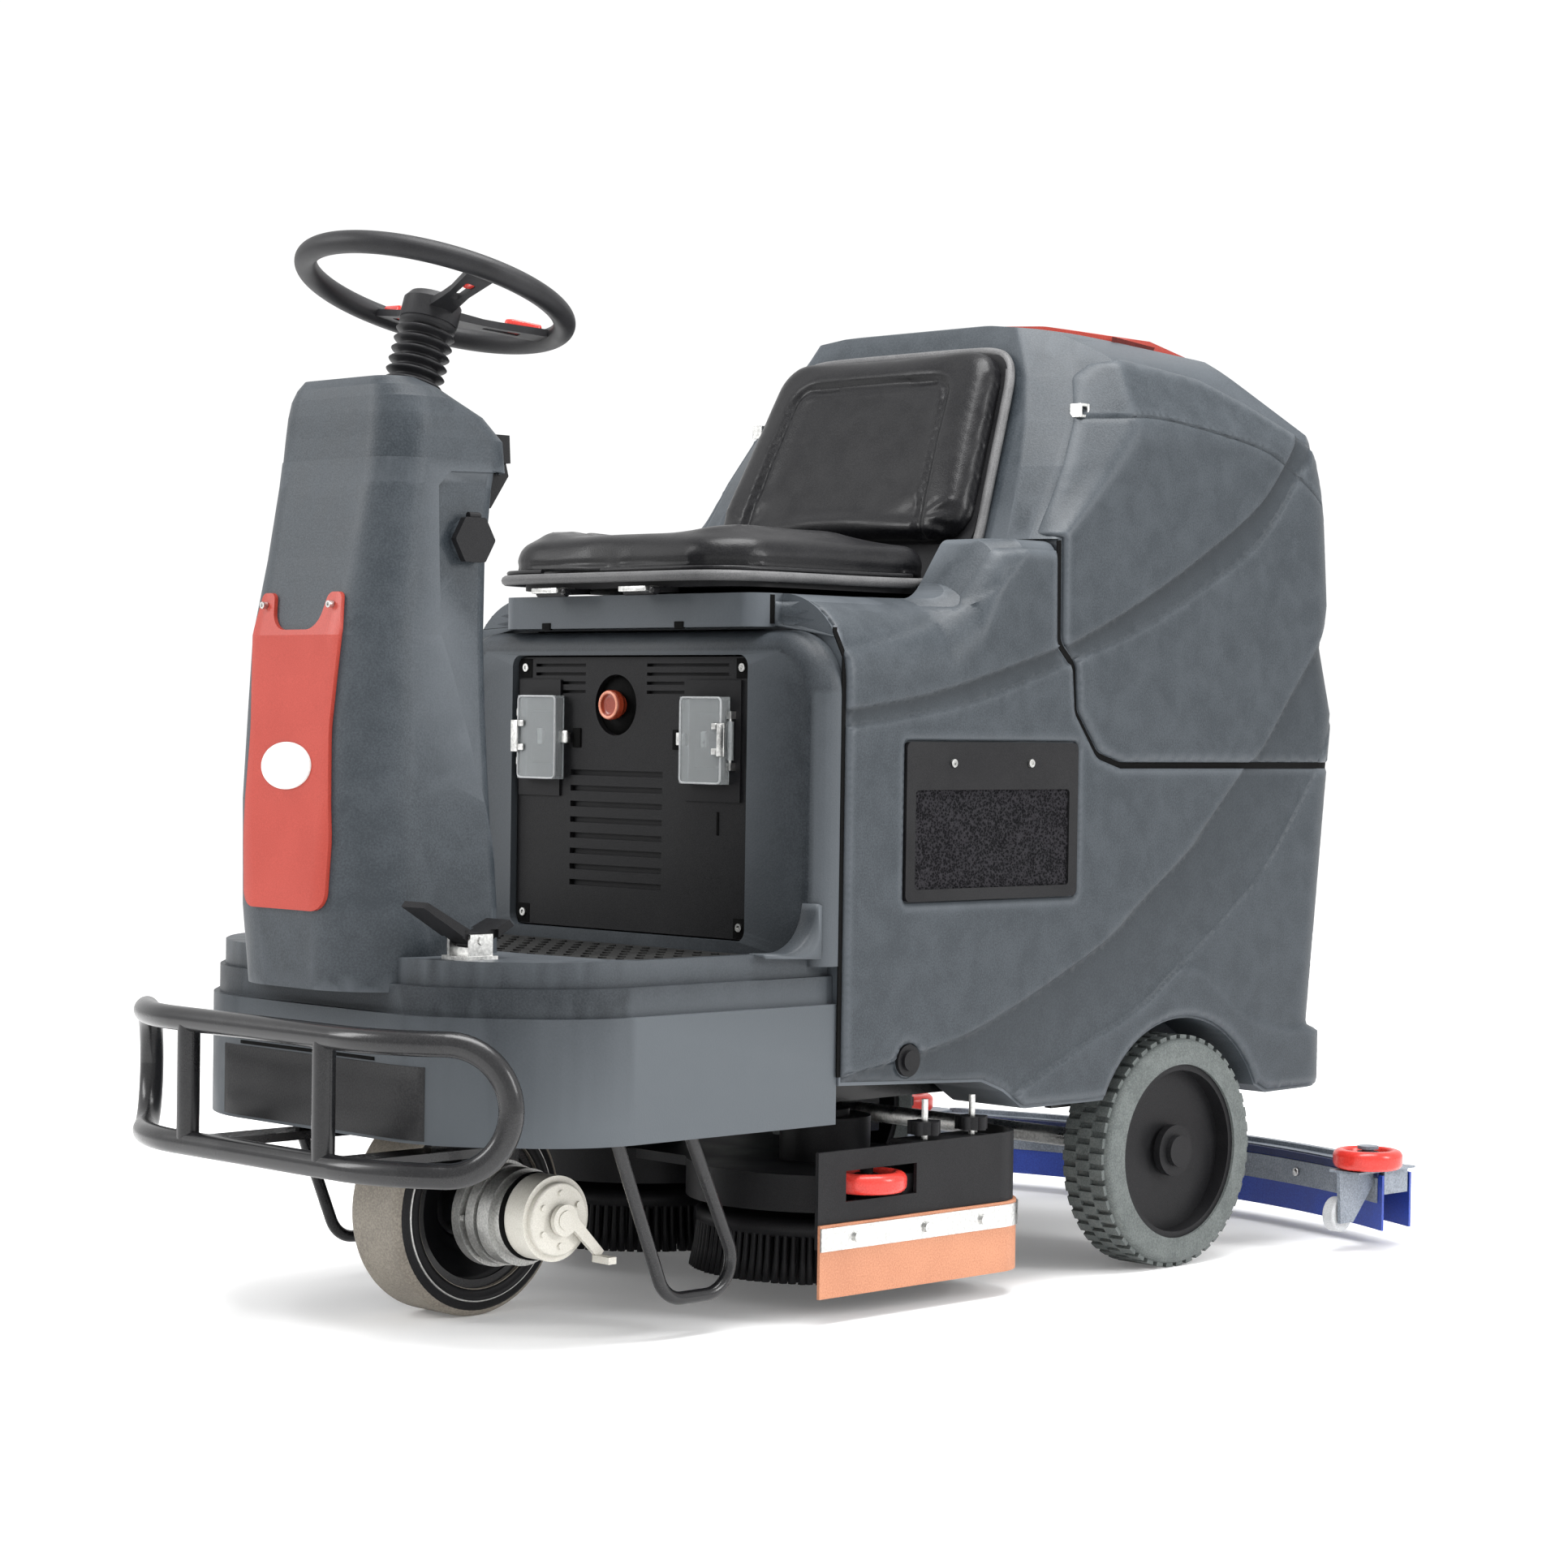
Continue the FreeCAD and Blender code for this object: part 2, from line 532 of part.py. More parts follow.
# Tanks ----------------------------------------------------------------------------------------
# level, nose half-width and y, cheek half-width and y, where the sides start, rear y, side and rear radii
TANK_TIERS = [(600, 270, 144, 303, 150, 163, 752, 14, 60), (SPLIT_Z, 270, 144, 303, 150, 163, 760, 14, 60),
              (717, 270, 144, 303, 150, 163, 768, 14, 60), (805, 270, 144, 303, 150, 163, 741, 14, 60),
              (862, 270, 144, 303, 150, 163, 750, 14, 60), (927, 270, 144, 303, 150, 163, 750, 14, 68),
              (980, 261, 168, 300, 184, 222, 750, 30, 75), (1021, 252, 186, 297, 208, 265, 749, 50, 85),
              (1080, 236, 213, 284, 246, 318, 732, 60, 90), (1140, 214, 239, 260, 276, 356, 705, 60, 110),
              (1224, 168, 268, 218, 314, 400, 670, 60, 140)]


def prow(z, nose, nose_y, cheek, cheek_y, side_y, rear_y, side_r, rear_r, inset=0.0):
    """A level section of the tank: a narrow nose, a chamfered cheek each side and a rounded rear."""
    h = HALF_WIDTH - inset
    left = [(V(nose - inset * 0.6, nose_y + inset, z), 12), (V(cheek - inset * 0.8, cheek_y + inset, z), 26),
            (V(h, side_y + inset * 0.6, z), side_r), (V(h, rear_y - inset, z), rear_r - inset)]
    right = [(V(-p.x, p.y, z), r) for p, r in reversed(left)]
    return Part.Wire(Part.__sortEdges__(path_edges(left + right, True)))


def tank_outer():
    h = HALF_WIDTH
    gap = 3.0
    side = [(130, 927, 0), (130, 1130, 0), (232, 1188, 0), (254, 1210, 12), (276, 1215, 10), (320, 1204, 0),
            (560, 1180, 200), (690, 1132, 60), (726, 1090, 20), (748, 1019, 0), (750, 862, 0), (741, 805, 20),
            (768, 717, 30), (760, SPLIT_Z + gap, 0), (285, SPLIT_Z + gap, 10), (243, 661, 24), (200, 714, 20),
            (194, 773, 20), (165 + gap, 798, 22), (163 + gap, 927, 0)]
    body = slab(side, "yz", -h, h).common(Part.makeLoft([prow(*t) for t in TANK_TIERS], True, True))
    shoulder = slab([(h, 640), (h, 1072, 80), (290, 1164, 60), (215, 1203, 90), (90, 1217), (-90, 1217),
                     (-215, 1203, 90), (-290, 1164, 60), (-h, 1072, 80), (-h, 640)], "xz", 100, 800)
    return body.common(shoulder).cut(group(both(rear_bevel(0))))


def rear_bevel(drop):
    """What the slanted rear shoulders take off the roof on one side."""
    corners = [V(x, y, 1151 - drop - 0.53 * (x - 228) - 0.42 * (y - 656)) for x, y in ((150, 480), (400, 480), (400, 850), (150, 850))]
    return Part.Face(Part.makePolygon(corners + corners[:1])).extrude(V(0, 0, 400))


def recovery_tank():
    """The dirty-water tank, hollow, open at the top under its lid."""
    h = HALF_WIDTH
    hollow = slab([(150, 936), (150, 1160), (330, 1184), (560, 1164), (680, 1112), (700, 1080),
                   (724, 980), (736, 862), (728, 805), (752, 720), (748, 662), (290, 662), (252, 676), (212, 720),
                   (206, 780), (180, 806), (178, 936)], "yz", -h + 8, h - 8)
    roof = slab([(h - 8, 640), (h - 8, 1066, 75), (282, 1154, 60), (210, 1184, 90), (90, 1195), (-90, 1195),
                 (-210, 1184, 90), (-282, 1154, 60), (-h + 8, 1066, 75), (-h + 8, 640)], "xz", 100, 800)
    inside = Part.makeLoft([prow(*t, inset=9.0) for t in TANK_TIERS], True, True)
    room = hollow.common(roof).common(inside).cut(group(both(rear_bevel(12))))
    body = tank_outer().cut(room)
    return body.cut(slab(mouth_plan(0), "xy", 1120, 1300))


def mouth_plan(inset):
    """The filling mouth, narrow in front and wide behind."""
    a, y0, y1 = 186 - inset, 300 + inset, 620 - inset
    return [(a, 420, 40), (a, y1, 50), (-a, y1, 50), (-a, 420, 40), (-60 + inset * 0.4, y0, 30), (60 - inset * 0.4, y0, 30)]


def recovery_lid():
    """The coloured lid, a shallow crowned cover with a blunt nose, over a plug that sits in the mouth."""
    plan = slab([(228, 400, 60), (228, 690, 36), (-228, 690, 36), (-228, 400, 60), (-60, 286, 60), (60, 286, 60)],
                "xy", 1000, 1300)
    top = slab([(250, 1150), (250, 1209), (310, 1219, 40), (400, 1217, 80), (560, 1185, 80), (700, 1151), (700, 1100)],
               "yz", -300, 300)
    lid = plan.common(top).cut(tank_outer().translated(Z * 0.5)).cut(slab(mouth_plan(-6), "xy", 900, 1180))
    lid = lid.common(slab([(240, 1126), (240, 1201, 10), (150, 1218, 60), (-150, 1218, 60), (-240, 1201, 10),
                           (-240, 1126)], "xz", 200, 720))
    skin = slab([(240, 1100), (700, 1100), (700, 1132), (560, 1181), (330, 1205), (240, 1206)], "yz", -300, 300)
    lid = lid.cut(slab(mouth_plan(-8), "xy", 900, 1300).common(skin))
    plug = slab(mouth_plan(10), "xy", 1150, 1210).cut(slab(mouth_plan(18), "xy", 1100, 1196))
    under = slab([(240, 1100), (640, 1100), (640, 1156), (560, 1186), (330, 1208), (240, 1208)], "yz", -300, 300)
    return fuse([lid, plug.common(under)])


def vacuum_motor():
    return fuse([rod(V(-180, 330, 960), Z, 70, 110), rod(V(-180, 330, 1070), Z, 40, 40),
                 block(-329, -180, 300, 360, 960, 980)])


# Rear wheels ----------------------------------------------------------------------------------
def rear_tyre(side):
    """Block-tread tyre."""
    x0 = REAR_OUT - REAR_W
    tyre = rod(V(x0, AXLE_Y, REAR_R), X, REAR_R - 5, REAR_W)
    tyre = soften(tyre, 9, lambda m, e: e.Curve.TypeId == "Part::GeomCircle")
    tyre = tyre.cut(rod(V(x0 - 1, AXLE_Y, REAR_R), X, 112, REAR_W + 2))
    rows = []
    count, gap = 46, 7.5
    for row, (a, b) in enumerate(((7, 28), (28, 50), (50, 71))):
        slots = [turned(block(x0 + a - 1, x0 + b + 1, AXLE_Y - gap / 2, AXLE_Y + gap / 2, 2 * REAR_R - 8, 2 * REAR_R + 2),
                        360 / count * (k + row % 2 * 0.5), V(0, AXLE_Y, REAR_R), X) for k in range(count)]
        rows.append(ring(V(x0 + a, AXLE_Y, REAR_R), X, REAR_R, REAR_R - 6, b - a).cut(group(slots)))
    out = tyre.multiFuse(rows)
    return out if side > 0 else flip(out)


def rear_hub(side):
    """Dished wheel disc with a stepped hub cap and a bored boss."""
    x0 = REAR_OUT - REAR_W
    rim = ring(V(x0 + 2, AXLE_Y, REAR_R), X, 112, 104, REAR_W - 6)
    disc = rod(V(x0 + 46, AXLE_Y, REAR_R), X, 104, 8)
    boss = rod(V(x0 + 14, AXLE_Y, REAR_R), X, 26, 52)
    cap = rod(V(x0 + 60, AXLE_Y, REAR_R), X, 33, 10)
    cap = cap.fuse(rod(V(x0 + 70, AXLE_Y, REAR_R), X, 20, 8))
    bore = rod(V(x0 - 10, AXLE_Y, REAR_R), X, 12.5 + FIT, 84)
    hub = fuse([rim, disc, boss, cap]).cut(bore)
    return hub if side > 0 else flip(hub)


# Steered drive --------------------------------------------------------------------------------
def steer_bearing():
    return ring(V(0, DRIVE_Y, 305), Z, 60, 40.3, 19)


def drive_fork():
    """Turntable, one-sided fork plates and the steering sprocket."""
    top = block(-72, 72, DRIVE_Y - 58, DRIVE_Y + 58, 288, 300)
    neck = fuse([rod(V(0, DRIVE_Y, 300), Z, 40, 34), rod(V(0, DRIVE_Y, 334), Z, 22, 22)])
    sprocket = fuse([rod(V(0, DRIVE_Y, 340), Z, BIG_SPROCKET_R, 8)])
    neck = neck.cut(rod(V(0, DRIVE_Y, 324), Z, 60, 10).cut(rod(V(0, DRIVE_Y, 324), Z, 22, 10)))
    legs = []
    for x0, x1 in ((-66, -54), (54, 66)):
        leg = slab([(DRIVE_Y - 40, 292, 0), (DRIVE_Y - 36, 90, 30), (DRIVE_Y + 36, 90, 30), (DRIVE_Y + 40, 292, 0)],
                   "yz", x0, x1)
        legs.append(leg.cut(rod(V(x0 - 1, DRIVE_Y, DRIVE_R), X, 16, 14)))
    return fuse([top, neck, sprocket] + legs)


def drive_motor():
    """Silver gearmotor on the outer fork plate, with the wheel's output shaft."""
    flange = rod(V(66, DRIVE_Y, DRIVE_R), X, 62, 14)
    ribs = [rod(V(86, DRIVE_Y, DRIVE_R), X, 58, 14), rod(V(104, DRIVE_Y, DRIVE_R), X, 56, 20)]
    case = rod(V(80, DRIVE_Y, DRIVE_R), X, 48, 62)
    bolts = []
    for k in range(6):
        bolt = rod(V(78, DRIVE_Y, DRIVE_R + 57), X, 4, 6)
        bolts.append(turned(bolt, 60 * k + 30, V(0, DRIVE_Y, DRIVE_R), X))
    shaft = rod(V(-70, DRIVE_Y, DRIVE_R), X, 14, 140)
    return fuse([flange, case, shaft] + ribs + bolts)


def brake_cap():
    """Electric parking brake: a pale stepped disc with a ring of screws."""
    disc = fuse([rod(V(142, DRIVE_Y, DRIVE_R + 4), X, 49, 34), rod(V(176, DRIVE_Y, DRIVE_R + 4), X, 42, 8)])
    disc = soften(disc, 3, lambda m, e: m.x > 183)
    centre = rod(V(184, DRIVE_Y, DRIVE_R + 4), X, 11, 12)
    screws = [turned(rod(V(184, DRIVE_Y, DRIVE_R + 4 + 30), X, 3.5, 3), 60 * k, V(0, DRIVE_Y, DRIVE_R + 4), X)
              for k in range(6)]
    return fuse([disc, centre] + screws)


def brake_lever():
    """The hand release that swings on the brake's centre boss."""
    eye = ring(V(188.5, DRIVE_Y, DRIVE_R + 4), X, 18, 11.05, 6)
    arm = slab([(DRIVE_Y + 12, DRIVE_R - 8), (DRIVE_Y + 50, DRIVE_R - 44), (DRIVE_Y + 58, DRIVE_R - 36),
                (DRIVE_Y + 17, DRIVE_R + 6)], "yz", 188.5, 194.5)
    grip = block(190, 218, DRIVE_Y + 44, DRIVE_Y + 56, DRIVE_R - 48, DRIVE_R - 40)
    return fuse([eye, arm, grip])


def drive_tyre():
    tyre = rod(V(-DRIVE_W / 2, DRIVE_Y, DRIVE_R), X, DRIVE_R, DRIVE_W)
    tyre = soften(tyre, 12, lambda m, e: e.Curve.TypeId == "Part::GeomCircle")
    return tyre.cut(rod(V(-60, DRIVE_Y, DRIVE_R), X, 92, 120))


def drive_rim():
    rim = ring(V(-40, DRIVE_Y, DRIVE_R), X, 92, 82, 80)
    disc = rod(V(-8, DRIVE_Y, DRIVE_R), X, 82, 12)
    boss = rod(V(-44, DRIVE_Y, DRIVE_R), X, 30, 88)
    return fuse([rim, disc, boss]).cut(rod(V(-60, DRIVE_Y, DRIVE_R), X, 14 + FIT, 120))


# Steering -------------------------------------------------------------------------------------
def on_wheel_plane(shape):
    """From a level wheel at the origin to its tilted place."""
    out = shape.copy()
    out.rotate(V(0, 0, 0), X, -math.degrees(TILT))
    out.translate(WHEEL_AT)
    return out


SPOKE_TURN = -17.0


def steering_wheel():
    """Rim, three flat spokes and a dished hub."""
    rim = Part.makeTorus(WHEEL_R, RIM_R)
    plan = slab([(20, -15), (80, -12), (146, -17), (146, 17), (80, 12), (20, 15)], "xy", -30, 10)
    plan = plan.cut(slab([(66, -4, 3), (112, -6, 3), (112, 6, 3), (66, 4, 3)], "xy", -30, 10))
    dip = slab([(20, -26), (60, -20), (146, -5), (146, 4), (60, -12), (20, -16)], "xz", -20, 20)
    spoke = plan.common(dip)
    spokes = [turned(spoke, a + SPOKE_TURN, V(0, 0, 0), Z) for a in (0, 90, 180)]
    hub = fuse([rod(V(0, 0, -36), Z, 34, 24), Part.makeCone(34, 28, 8, V(0, 0, -12), Z)])
    return on_wheel_plane(fuse([rim, hub] + spokes))


def steering_shaft():
    """Upper shaft with its collar, down to the universal joint inside the column."""
    shaft = rod(V(0, 0, -205), Z, 11, 169)
    collar = rod(V(0, 0, -42), Z, 30, 6)
    return on_wheel_plane(fuse([shaft, collar]))


def lower_shaft():
    """Vertical shaft with the small chain sprocket."""
    return fuse([rod(V(0, SHAFT_Y, 336), Z, 11, 630), rod(V(0, SHAFT_Y, 340), Z, SMALL_SPROCKET_R, 8)])


def steering_chain():
    """The closed chain loop, as a smooth band round both sprockets."""
    gap, thick = 0.4, 5.0

    def hoop(extra):
        big, small = BIG_SPROCKET_R + extra, SMALL_SPROCKET_R + extra
        run = DRIVE_Y - SHAFT_Y
        lean = math.asin((big - small) / run)
        c, s = math.cos(lean), math.sin(lean)
        a, b = V(big * c, DRIVE_Y - big * s, 0), V(small * c, SHAFT_Y - small * s, 0)
        edges = [Part.LineSegment(a, b).toShape(),
                 Part.Arc(b, V(0, SHAFT_Y - small, 0), V(-b.x, b.y, 0)).toShape(),
                 Part.LineSegment(V(-b.x, b.y, 0), V(-a.x, a.y, 0)).toShape(),
                 Part.Arc(V(-a.x, a.y, 0), V(0, DRIVE_Y + big, 0), a).toShape()]
        return Part.Face(Part.Wire(edges))

    band = hoop(gap + thick).cut(hoop(gap))
    band.translate(V(0, 0, 341))
    return band.extrude(V(0, 0, 6))


# Brush deck -----------------------------------------------------------------------------------
DISC_R = 170.0
ROLLER_AT = V(319, -142, 145)
ROLLER_R = 48.0


def deck_housing():
    """Twin-disc deck plate with a rim, the brush motors and the lift lugs."""
    discs = [rod(V(x, DECK_Y, 150), Z, DISC_R, 12) for x in (-BRUSH_X, BRUSH_X)]
    web = block(-120, 120, DECK_Y - 120, DECK_Y + 120, 150, 162)
    plate = fuse(discs + [web])
    rims = []
    for x in (-BRUSH_X, BRUSH_X):
        rims.append(ring(V(x, DECK_Y, 118), Z, DISC_R, DISC_R - 4, 34))
    keep = block(-400, 400, DECK_Y - 200, DECK_Y + 200, 100, 160)
    for x in (-BRUSH_X, BRUSH_X):
        keep = keep.cut(rod(V(x, DECK_Y, 90), Z, DISC_R - 4.1, 60))
    rim = fuse(rims).common(keep)
    motors = [fuse([rod(V(x, DECK_Y, 162), Z, 56, 54), rod(V(x, DECK_Y, 216), Z, 30, 8)]) for x in (-BRUSH_X, BRUSH_X)]
    motors += [rod(V(x, DECK_Y, 96), Z, 11, 60) for x in (-BRUSH_X, BRUSH_X)]
    pockets = both(rod(V(ROLLER_AT.x, ROLLER_AT.y, 110), Z, ROLLER_R + 2, 60))
    return fuse([plate, rim] + motors).cut(group(pockets))


def brush(x):
    """Disc brush: a moulded block and rings of bristle tufts."""
    plate = rod(V(x, DECK_Y, 84), Z, BRUSH_R - 6, 24)
    hub = ring(V(x, DECK_Y, 100), Z, 30, 11 + FIT, 26)
    plate = plate.cut(rod(V(x, DECK_Y, 80), Z, 11 + FIT, 60))
    tufts = [ring(V(x, DECK_Y, BRISTLE_Z), Z, BRUSH_R, BRUSH_R - 12, 56)]
    count = 44
    for k in range(count):
        notch = block(x + BRUSH_R - 14, x + BRUSH_R + 1, DECK_Y - 3, DECK_Y + 3, BRISTLE_Z - 1, 80)
        tufts.append(turned(notch, 360 / count * k, V(x, DECK_Y, 0), Z))
    skirt = tufts[0].cut(group(tufts[1:]))
    inner = ring(V(x, DECK_Y, BRISTLE_Z), Z, 120, 60, 56)
    return fuse([plate, hub, skirt, inner])


SKIRT_Y0, SKIRT_Y1 = -248.0, 120.0


def skirt_arc(x0, x1, z0, z1):
    """A side wall in plan: straight along the machine and curled inwards behind."""
    d0, d1 = x0 - SKIRT_X, x1 - SKIRT_X
    outline = [(x1, SKIRT_Y0, 0), (x1, SKIRT_Y1 + d1, 60 + d1), (250, SKIRT_Y1 + 14 + d1, 0),
               (250, SKIRT_Y1 + 14 + d0, 0), (x0, SKIRT_Y1 + d0, 60 + d0), (x0, SKIRT_Y0, 0)]
    return slab(outline, "xy", z0, z1)


def side_skirts():
    """Rubber side skirts and their black backing plates."""
    blade = skirt_arc(SKIRT_X, SKIRT_X + 4, BRISTLE_Z, 116)
    return group(both(blade))


def skirt_plates():
    plate = skirt_arc(SKIRT_X - 5, SKIRT_X - 0.0, 88, 200)
    window = block(SKIRT_X - 30, SKIRT_X + 30, -202, -82, 140, 176)
    plate = plate.cut(window)
    lug = block(296, SKIRT_X - 3, -80, 50, 196, 200)
    post = block(296, 302, -76, 46, 162, 197)
    arm = block(ROLLER_AT.x - 10, SKIRT_X - 1, ROLLER_AT.y - 18, ROLLER_AT.y + 18, 178, 184)
    pin = rod(ROLLER_AT - Z * 4, Z, PIN_R, 40)
    return group(both(fuse([plate, lug, post, arm, pin])))


def skirt_strips():
    """Bright clamping strips with bolts, and the zinc hanger on each side."""
    strip = skirt_arc(SKIRT_X + 4, SKIRT_X + 6.5, 86, 113)
    bolts = [rod(V(SKIRT_X + 6.5, y, 99), X, 6, 4) for y in (-190, -70, 30)]
    studs = [rod(V(326, y, 200), Z, 4, 48) for y in (-50, 34)]
    return group(both(fuse([strip] + bolts)) + [s for t in studs for s in both(t)])


def skirt_knobs():
    """Star knobs on the hanger studs."""
    knobs = []
    for y in (-50, 34):
        core = rod(V(326, y, 206), Z, 17, 16)
        lobes = [turned(rod(V(326 + 15, y, 206), Z, 6, 16), 72 * k, V(326, y, 0), Z) for k in range(5)]
        knobs.append(fuse([core] + lobes).cut(rod(V(326, y, 200), Z, 4, 30)))
    return group([s for k in knobs for s in both(k)])


def side_roller(side):
    """Red wall roller that pokes out through the skirt plate, on a vertical pin."""
    tyre = rod(ROLLER_AT, Z, ROLLER_R, 24)
    tyre = soften(tyre, 11, lambda m, e: e.Curve.TypeId == "Part::GeomCircle")
    tyre = tyre.cut(rod(ROLLER_AT - Z, Z, PIN_R + FIT, 30))
    return tyre if side > 0 else flip(tyre)


# Squeegee -------------------------------------------------------------------------------------
def arc_band(inner, outer, half, z0, z1):
    """A curved bar across the machine, concentric with the squeegee."""
    sheet = ring(V(0, SQUEEGEE_CENTRE_Y, z0), Z, outer, inner, z1 - z0)
    return sheet.common(block(-half, half, 400, 1200, z0 - 1, z1 + 1))


def squeegee_body():
    """Curved channel, with a suction port at the middle and a roller bracket at each end."""
    r0, r1 = SQUEEGEE_INNER_R, SQUEEGEE_OUTER_R
    body = arc_band(r0 + 8, r1 - 8, SQUEEGEE_HALF, 74, 108)
    body = body.cut(arc_band(r0 + 14, r1 - 14, SQUEEGEE_HALF - 8, 60, 102))
    rib = arc_band(r0 + 26, r1 - 26, SQUEEGEE_HALF - 30, 106, 114)
    mid_y = SQUEEGEE_CENTRE_Y + (r0 + r1) / 2
    port = ring(V(0, mid_y, 100), Z, 27, 22, 50)
    ends = []
    plate = block(392, 440, 672, 800, 108, 111)
    pin = fuse([rod(V(END_ROLLER_AT.x, END_ROLLER_AT.y, 110), Z, PIN_R, 32),
                rod(END_ROLLER_AT + Z * 26.5, Z, 14, 4)])
    fork = slab([(676, 40), (704, 40), (748, 86), (748, 110), (672, 110)], "yz", CASTER_AT.x + 20, CASTER_AT.x + 25)
    stub = rod(CASTER_AT - X * 3, X, 5, 26)
    ends += both(fuse([plate, pin, fork, stub]))
    body = fuse([body, rib] + ends).cut(rod(V(0, mid_y, 60), Z, 22, 100))
    return fuse([body, port])


def squeegee_blades():
    front = arc_band(SQUEEGEE_INNER_R + 2, SQUEEGEE_INNER_R + 6, SQUEEGEE_HALF + 2, 26, 100)
    rear = arc_band(SQUEEGEE_OUTER_R - 6, SQUEEGEE_OUTER_R - 2, SQUEEGEE_HALF + 2, 26, 100)
    return group([front, rear])


def squeegee_arm():
    """The lift arm: a fork on the chassis pin that carries the swing pivot behind it."""
    pin = rod(V(-66, LIFT_AT.y, LIFT_AT.z), X, 8, 132)
    arms = [block(x, x + 8, LIFT_AT.y - 14, SWING_Y + 10, LIFT_AT.z - 14, LIFT_AT.z + 14) for x in (-48, 40)]
    web = block(-48, 48, SWING_Y - 26, SWING_Y + 26, LIFT_AT.z - 14, LIFT_AT.z - 6)
    pivot = rod(V(0, SWING_Y, LIFT_AT.z - 44), Z, 9, 50)
    return fuse([pin, web, pivot] + arms)


def swing_arm():
    """The swinging drawbar between the pivot and the squeegee."""
    top = LIFT_AT.z - 15
    bar = slab([(-26, SWING_Y - 26, 24), (26, SWING_Y - 26, 24), (70, 905, 12), (-70, 905, 12)], "xy", top - 8, top)
    bar = bar.cut(rod(V(0, SWING_Y, top - 20), Z, 9 + FIT, 40))
    mid_y = SQUEEGEE_CENTRE_Y + (SQUEEGEE_INNER_R + SQUEEGEE_OUTER_R) / 2
    bar = bar.cut(rod(V(0, mid_y, top - 20), Z, 28, 60))
    posts = [rod(V(x, 890, 112), Z, 7, top - 118) for x in (-52, 52)]
    return fuse([bar] + posts)


def end_roller(side):
    tyre = rod(END_ROLLER_AT, Z, 46, 26)
    tyre = soften(tyre, 11, lambda m, e: e.Curve.TypeId == "Part::GeomCircle")
    tyre = tyre.cut(rod(END_ROLLER_AT - Z, Z, PIN_R + FIT, 30))
    return tyre if side > 0 else flip(tyre)


def caster(side):
    wheel = rod(CASTER_AT, X, 23, 18)
    wheel = soften(wheel, 3, lambda m, e: e.Curve.TypeId == "Part::GeomCircle")
    wheel = wheel.cut(rod(CASTER_AT - X, X, 5 + FIT, 20))
    return wheel if side > 0 else flip(wheel)


# Write every sub-part ---------------------------------------------------------------------------
put("chassis_frame", chassis_frame())
put("bumper_frame", bumper_frame())
put("deck_guards", deck_guards())
put("rear_axle", rear_axle())
put("front_body", front_body())
put("solution_tank", solution_tank())
put("column_shell", column_shell())
put("column_rear_cover", column_rear_cover())
put("front_fascia", front_fascia())
put("dash_panel", dash_panel())
put("key_switch", key_switch())
put("socket_cap", socket_cap())
put("floor_mat", floor_mat())
put("battery_panel", battery_panel())
put("stop_button", stop_button())
put("window_left", window_left())
put("window_right", window_right())
put("batteries", batteries())
put("side_vents", side_vents())
put("bellows", bellows())
put("metal_fittings", metal_fittings())
put("pedal", pedal())
put("seat_pan", seat_pan())
put("seat_cushion", seat_cushion())
put("seat_backrest", seat_backrest())
put("recovery_tank", recovery_tank())
put("recovery_lid", recovery_lid())
put("vacuum_motor", vacuum_motor())
for side, word in ((1, "left"), (-1, "right")):
    put("rear_tyre_" + word, rear_tyre(side))
    put("rear_hub_" + word, rear_hub(side))
    put("brush_" + word, brush(side * BRUSH_X))
    put("side_roller_" + word, side_roller(side))
    put("end_roller_" + word, end_roller(side))
    put("caster_" + word, caster(side))
put("steer_bearing", steer_bearing())
put("drive_fork", drive_fork())
put("drive_motor", drive_motor())
put("brake_cap", brake_cap())
put("brake_lever", brake_lever())
put("drive_tyre", drive_tyre())
put("drive_rim", drive_rim())
put("steering_wheel", steering_wheel())
put("steering_shaft", steering_shaft())
put("lower_shaft", lower_shaft())
put("steering_chain", steering_chain())
put("deck_housing", deck_housing())
put("side_skirts", side_skirts())
put("skirt_plates", skirt_plates())
put("skirt_strips", skirt_strips())
put("skirt_knobs", skirt_knobs())
put("squeegee_arm", squeegee_arm())
put("swing_arm", swing_arm())
put("squeegee_body", squeegee_body())
put("squeegee_blades", squeegee_blades())
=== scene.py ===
"""Looks of the ride-on floor cleaning machine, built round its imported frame.

Stations are millimetres: x to the machine's left, y from front to rear, z up. spot() turns a station into
the frame's metres."""
import json
import math

import bpy
import bmesh
from mathutils import Matrix, Vector, geometry, noise
from mathutils.bvhtree import BVHTree


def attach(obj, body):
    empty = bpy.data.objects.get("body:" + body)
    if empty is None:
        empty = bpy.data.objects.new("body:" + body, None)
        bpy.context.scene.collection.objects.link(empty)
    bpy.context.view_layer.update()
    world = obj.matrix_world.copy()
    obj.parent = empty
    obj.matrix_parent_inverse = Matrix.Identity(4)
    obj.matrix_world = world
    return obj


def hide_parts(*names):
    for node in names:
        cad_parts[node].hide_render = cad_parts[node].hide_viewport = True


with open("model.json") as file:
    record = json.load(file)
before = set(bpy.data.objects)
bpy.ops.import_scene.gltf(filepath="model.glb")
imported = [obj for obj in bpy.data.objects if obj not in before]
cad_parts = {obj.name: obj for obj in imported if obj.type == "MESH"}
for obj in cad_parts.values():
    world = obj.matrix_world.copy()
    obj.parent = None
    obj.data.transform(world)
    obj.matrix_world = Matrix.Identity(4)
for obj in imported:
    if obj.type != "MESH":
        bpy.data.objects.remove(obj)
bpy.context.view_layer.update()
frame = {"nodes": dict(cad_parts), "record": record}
scene = bpy.context.scene

DATUM_Y = -49.0
SIDE_X = 338.0
SIDES = ((1, "left"), (-1, "right"))


def spot(x, y, z):
    return Vector((x, y + DATUM_Y, z)) / 1000


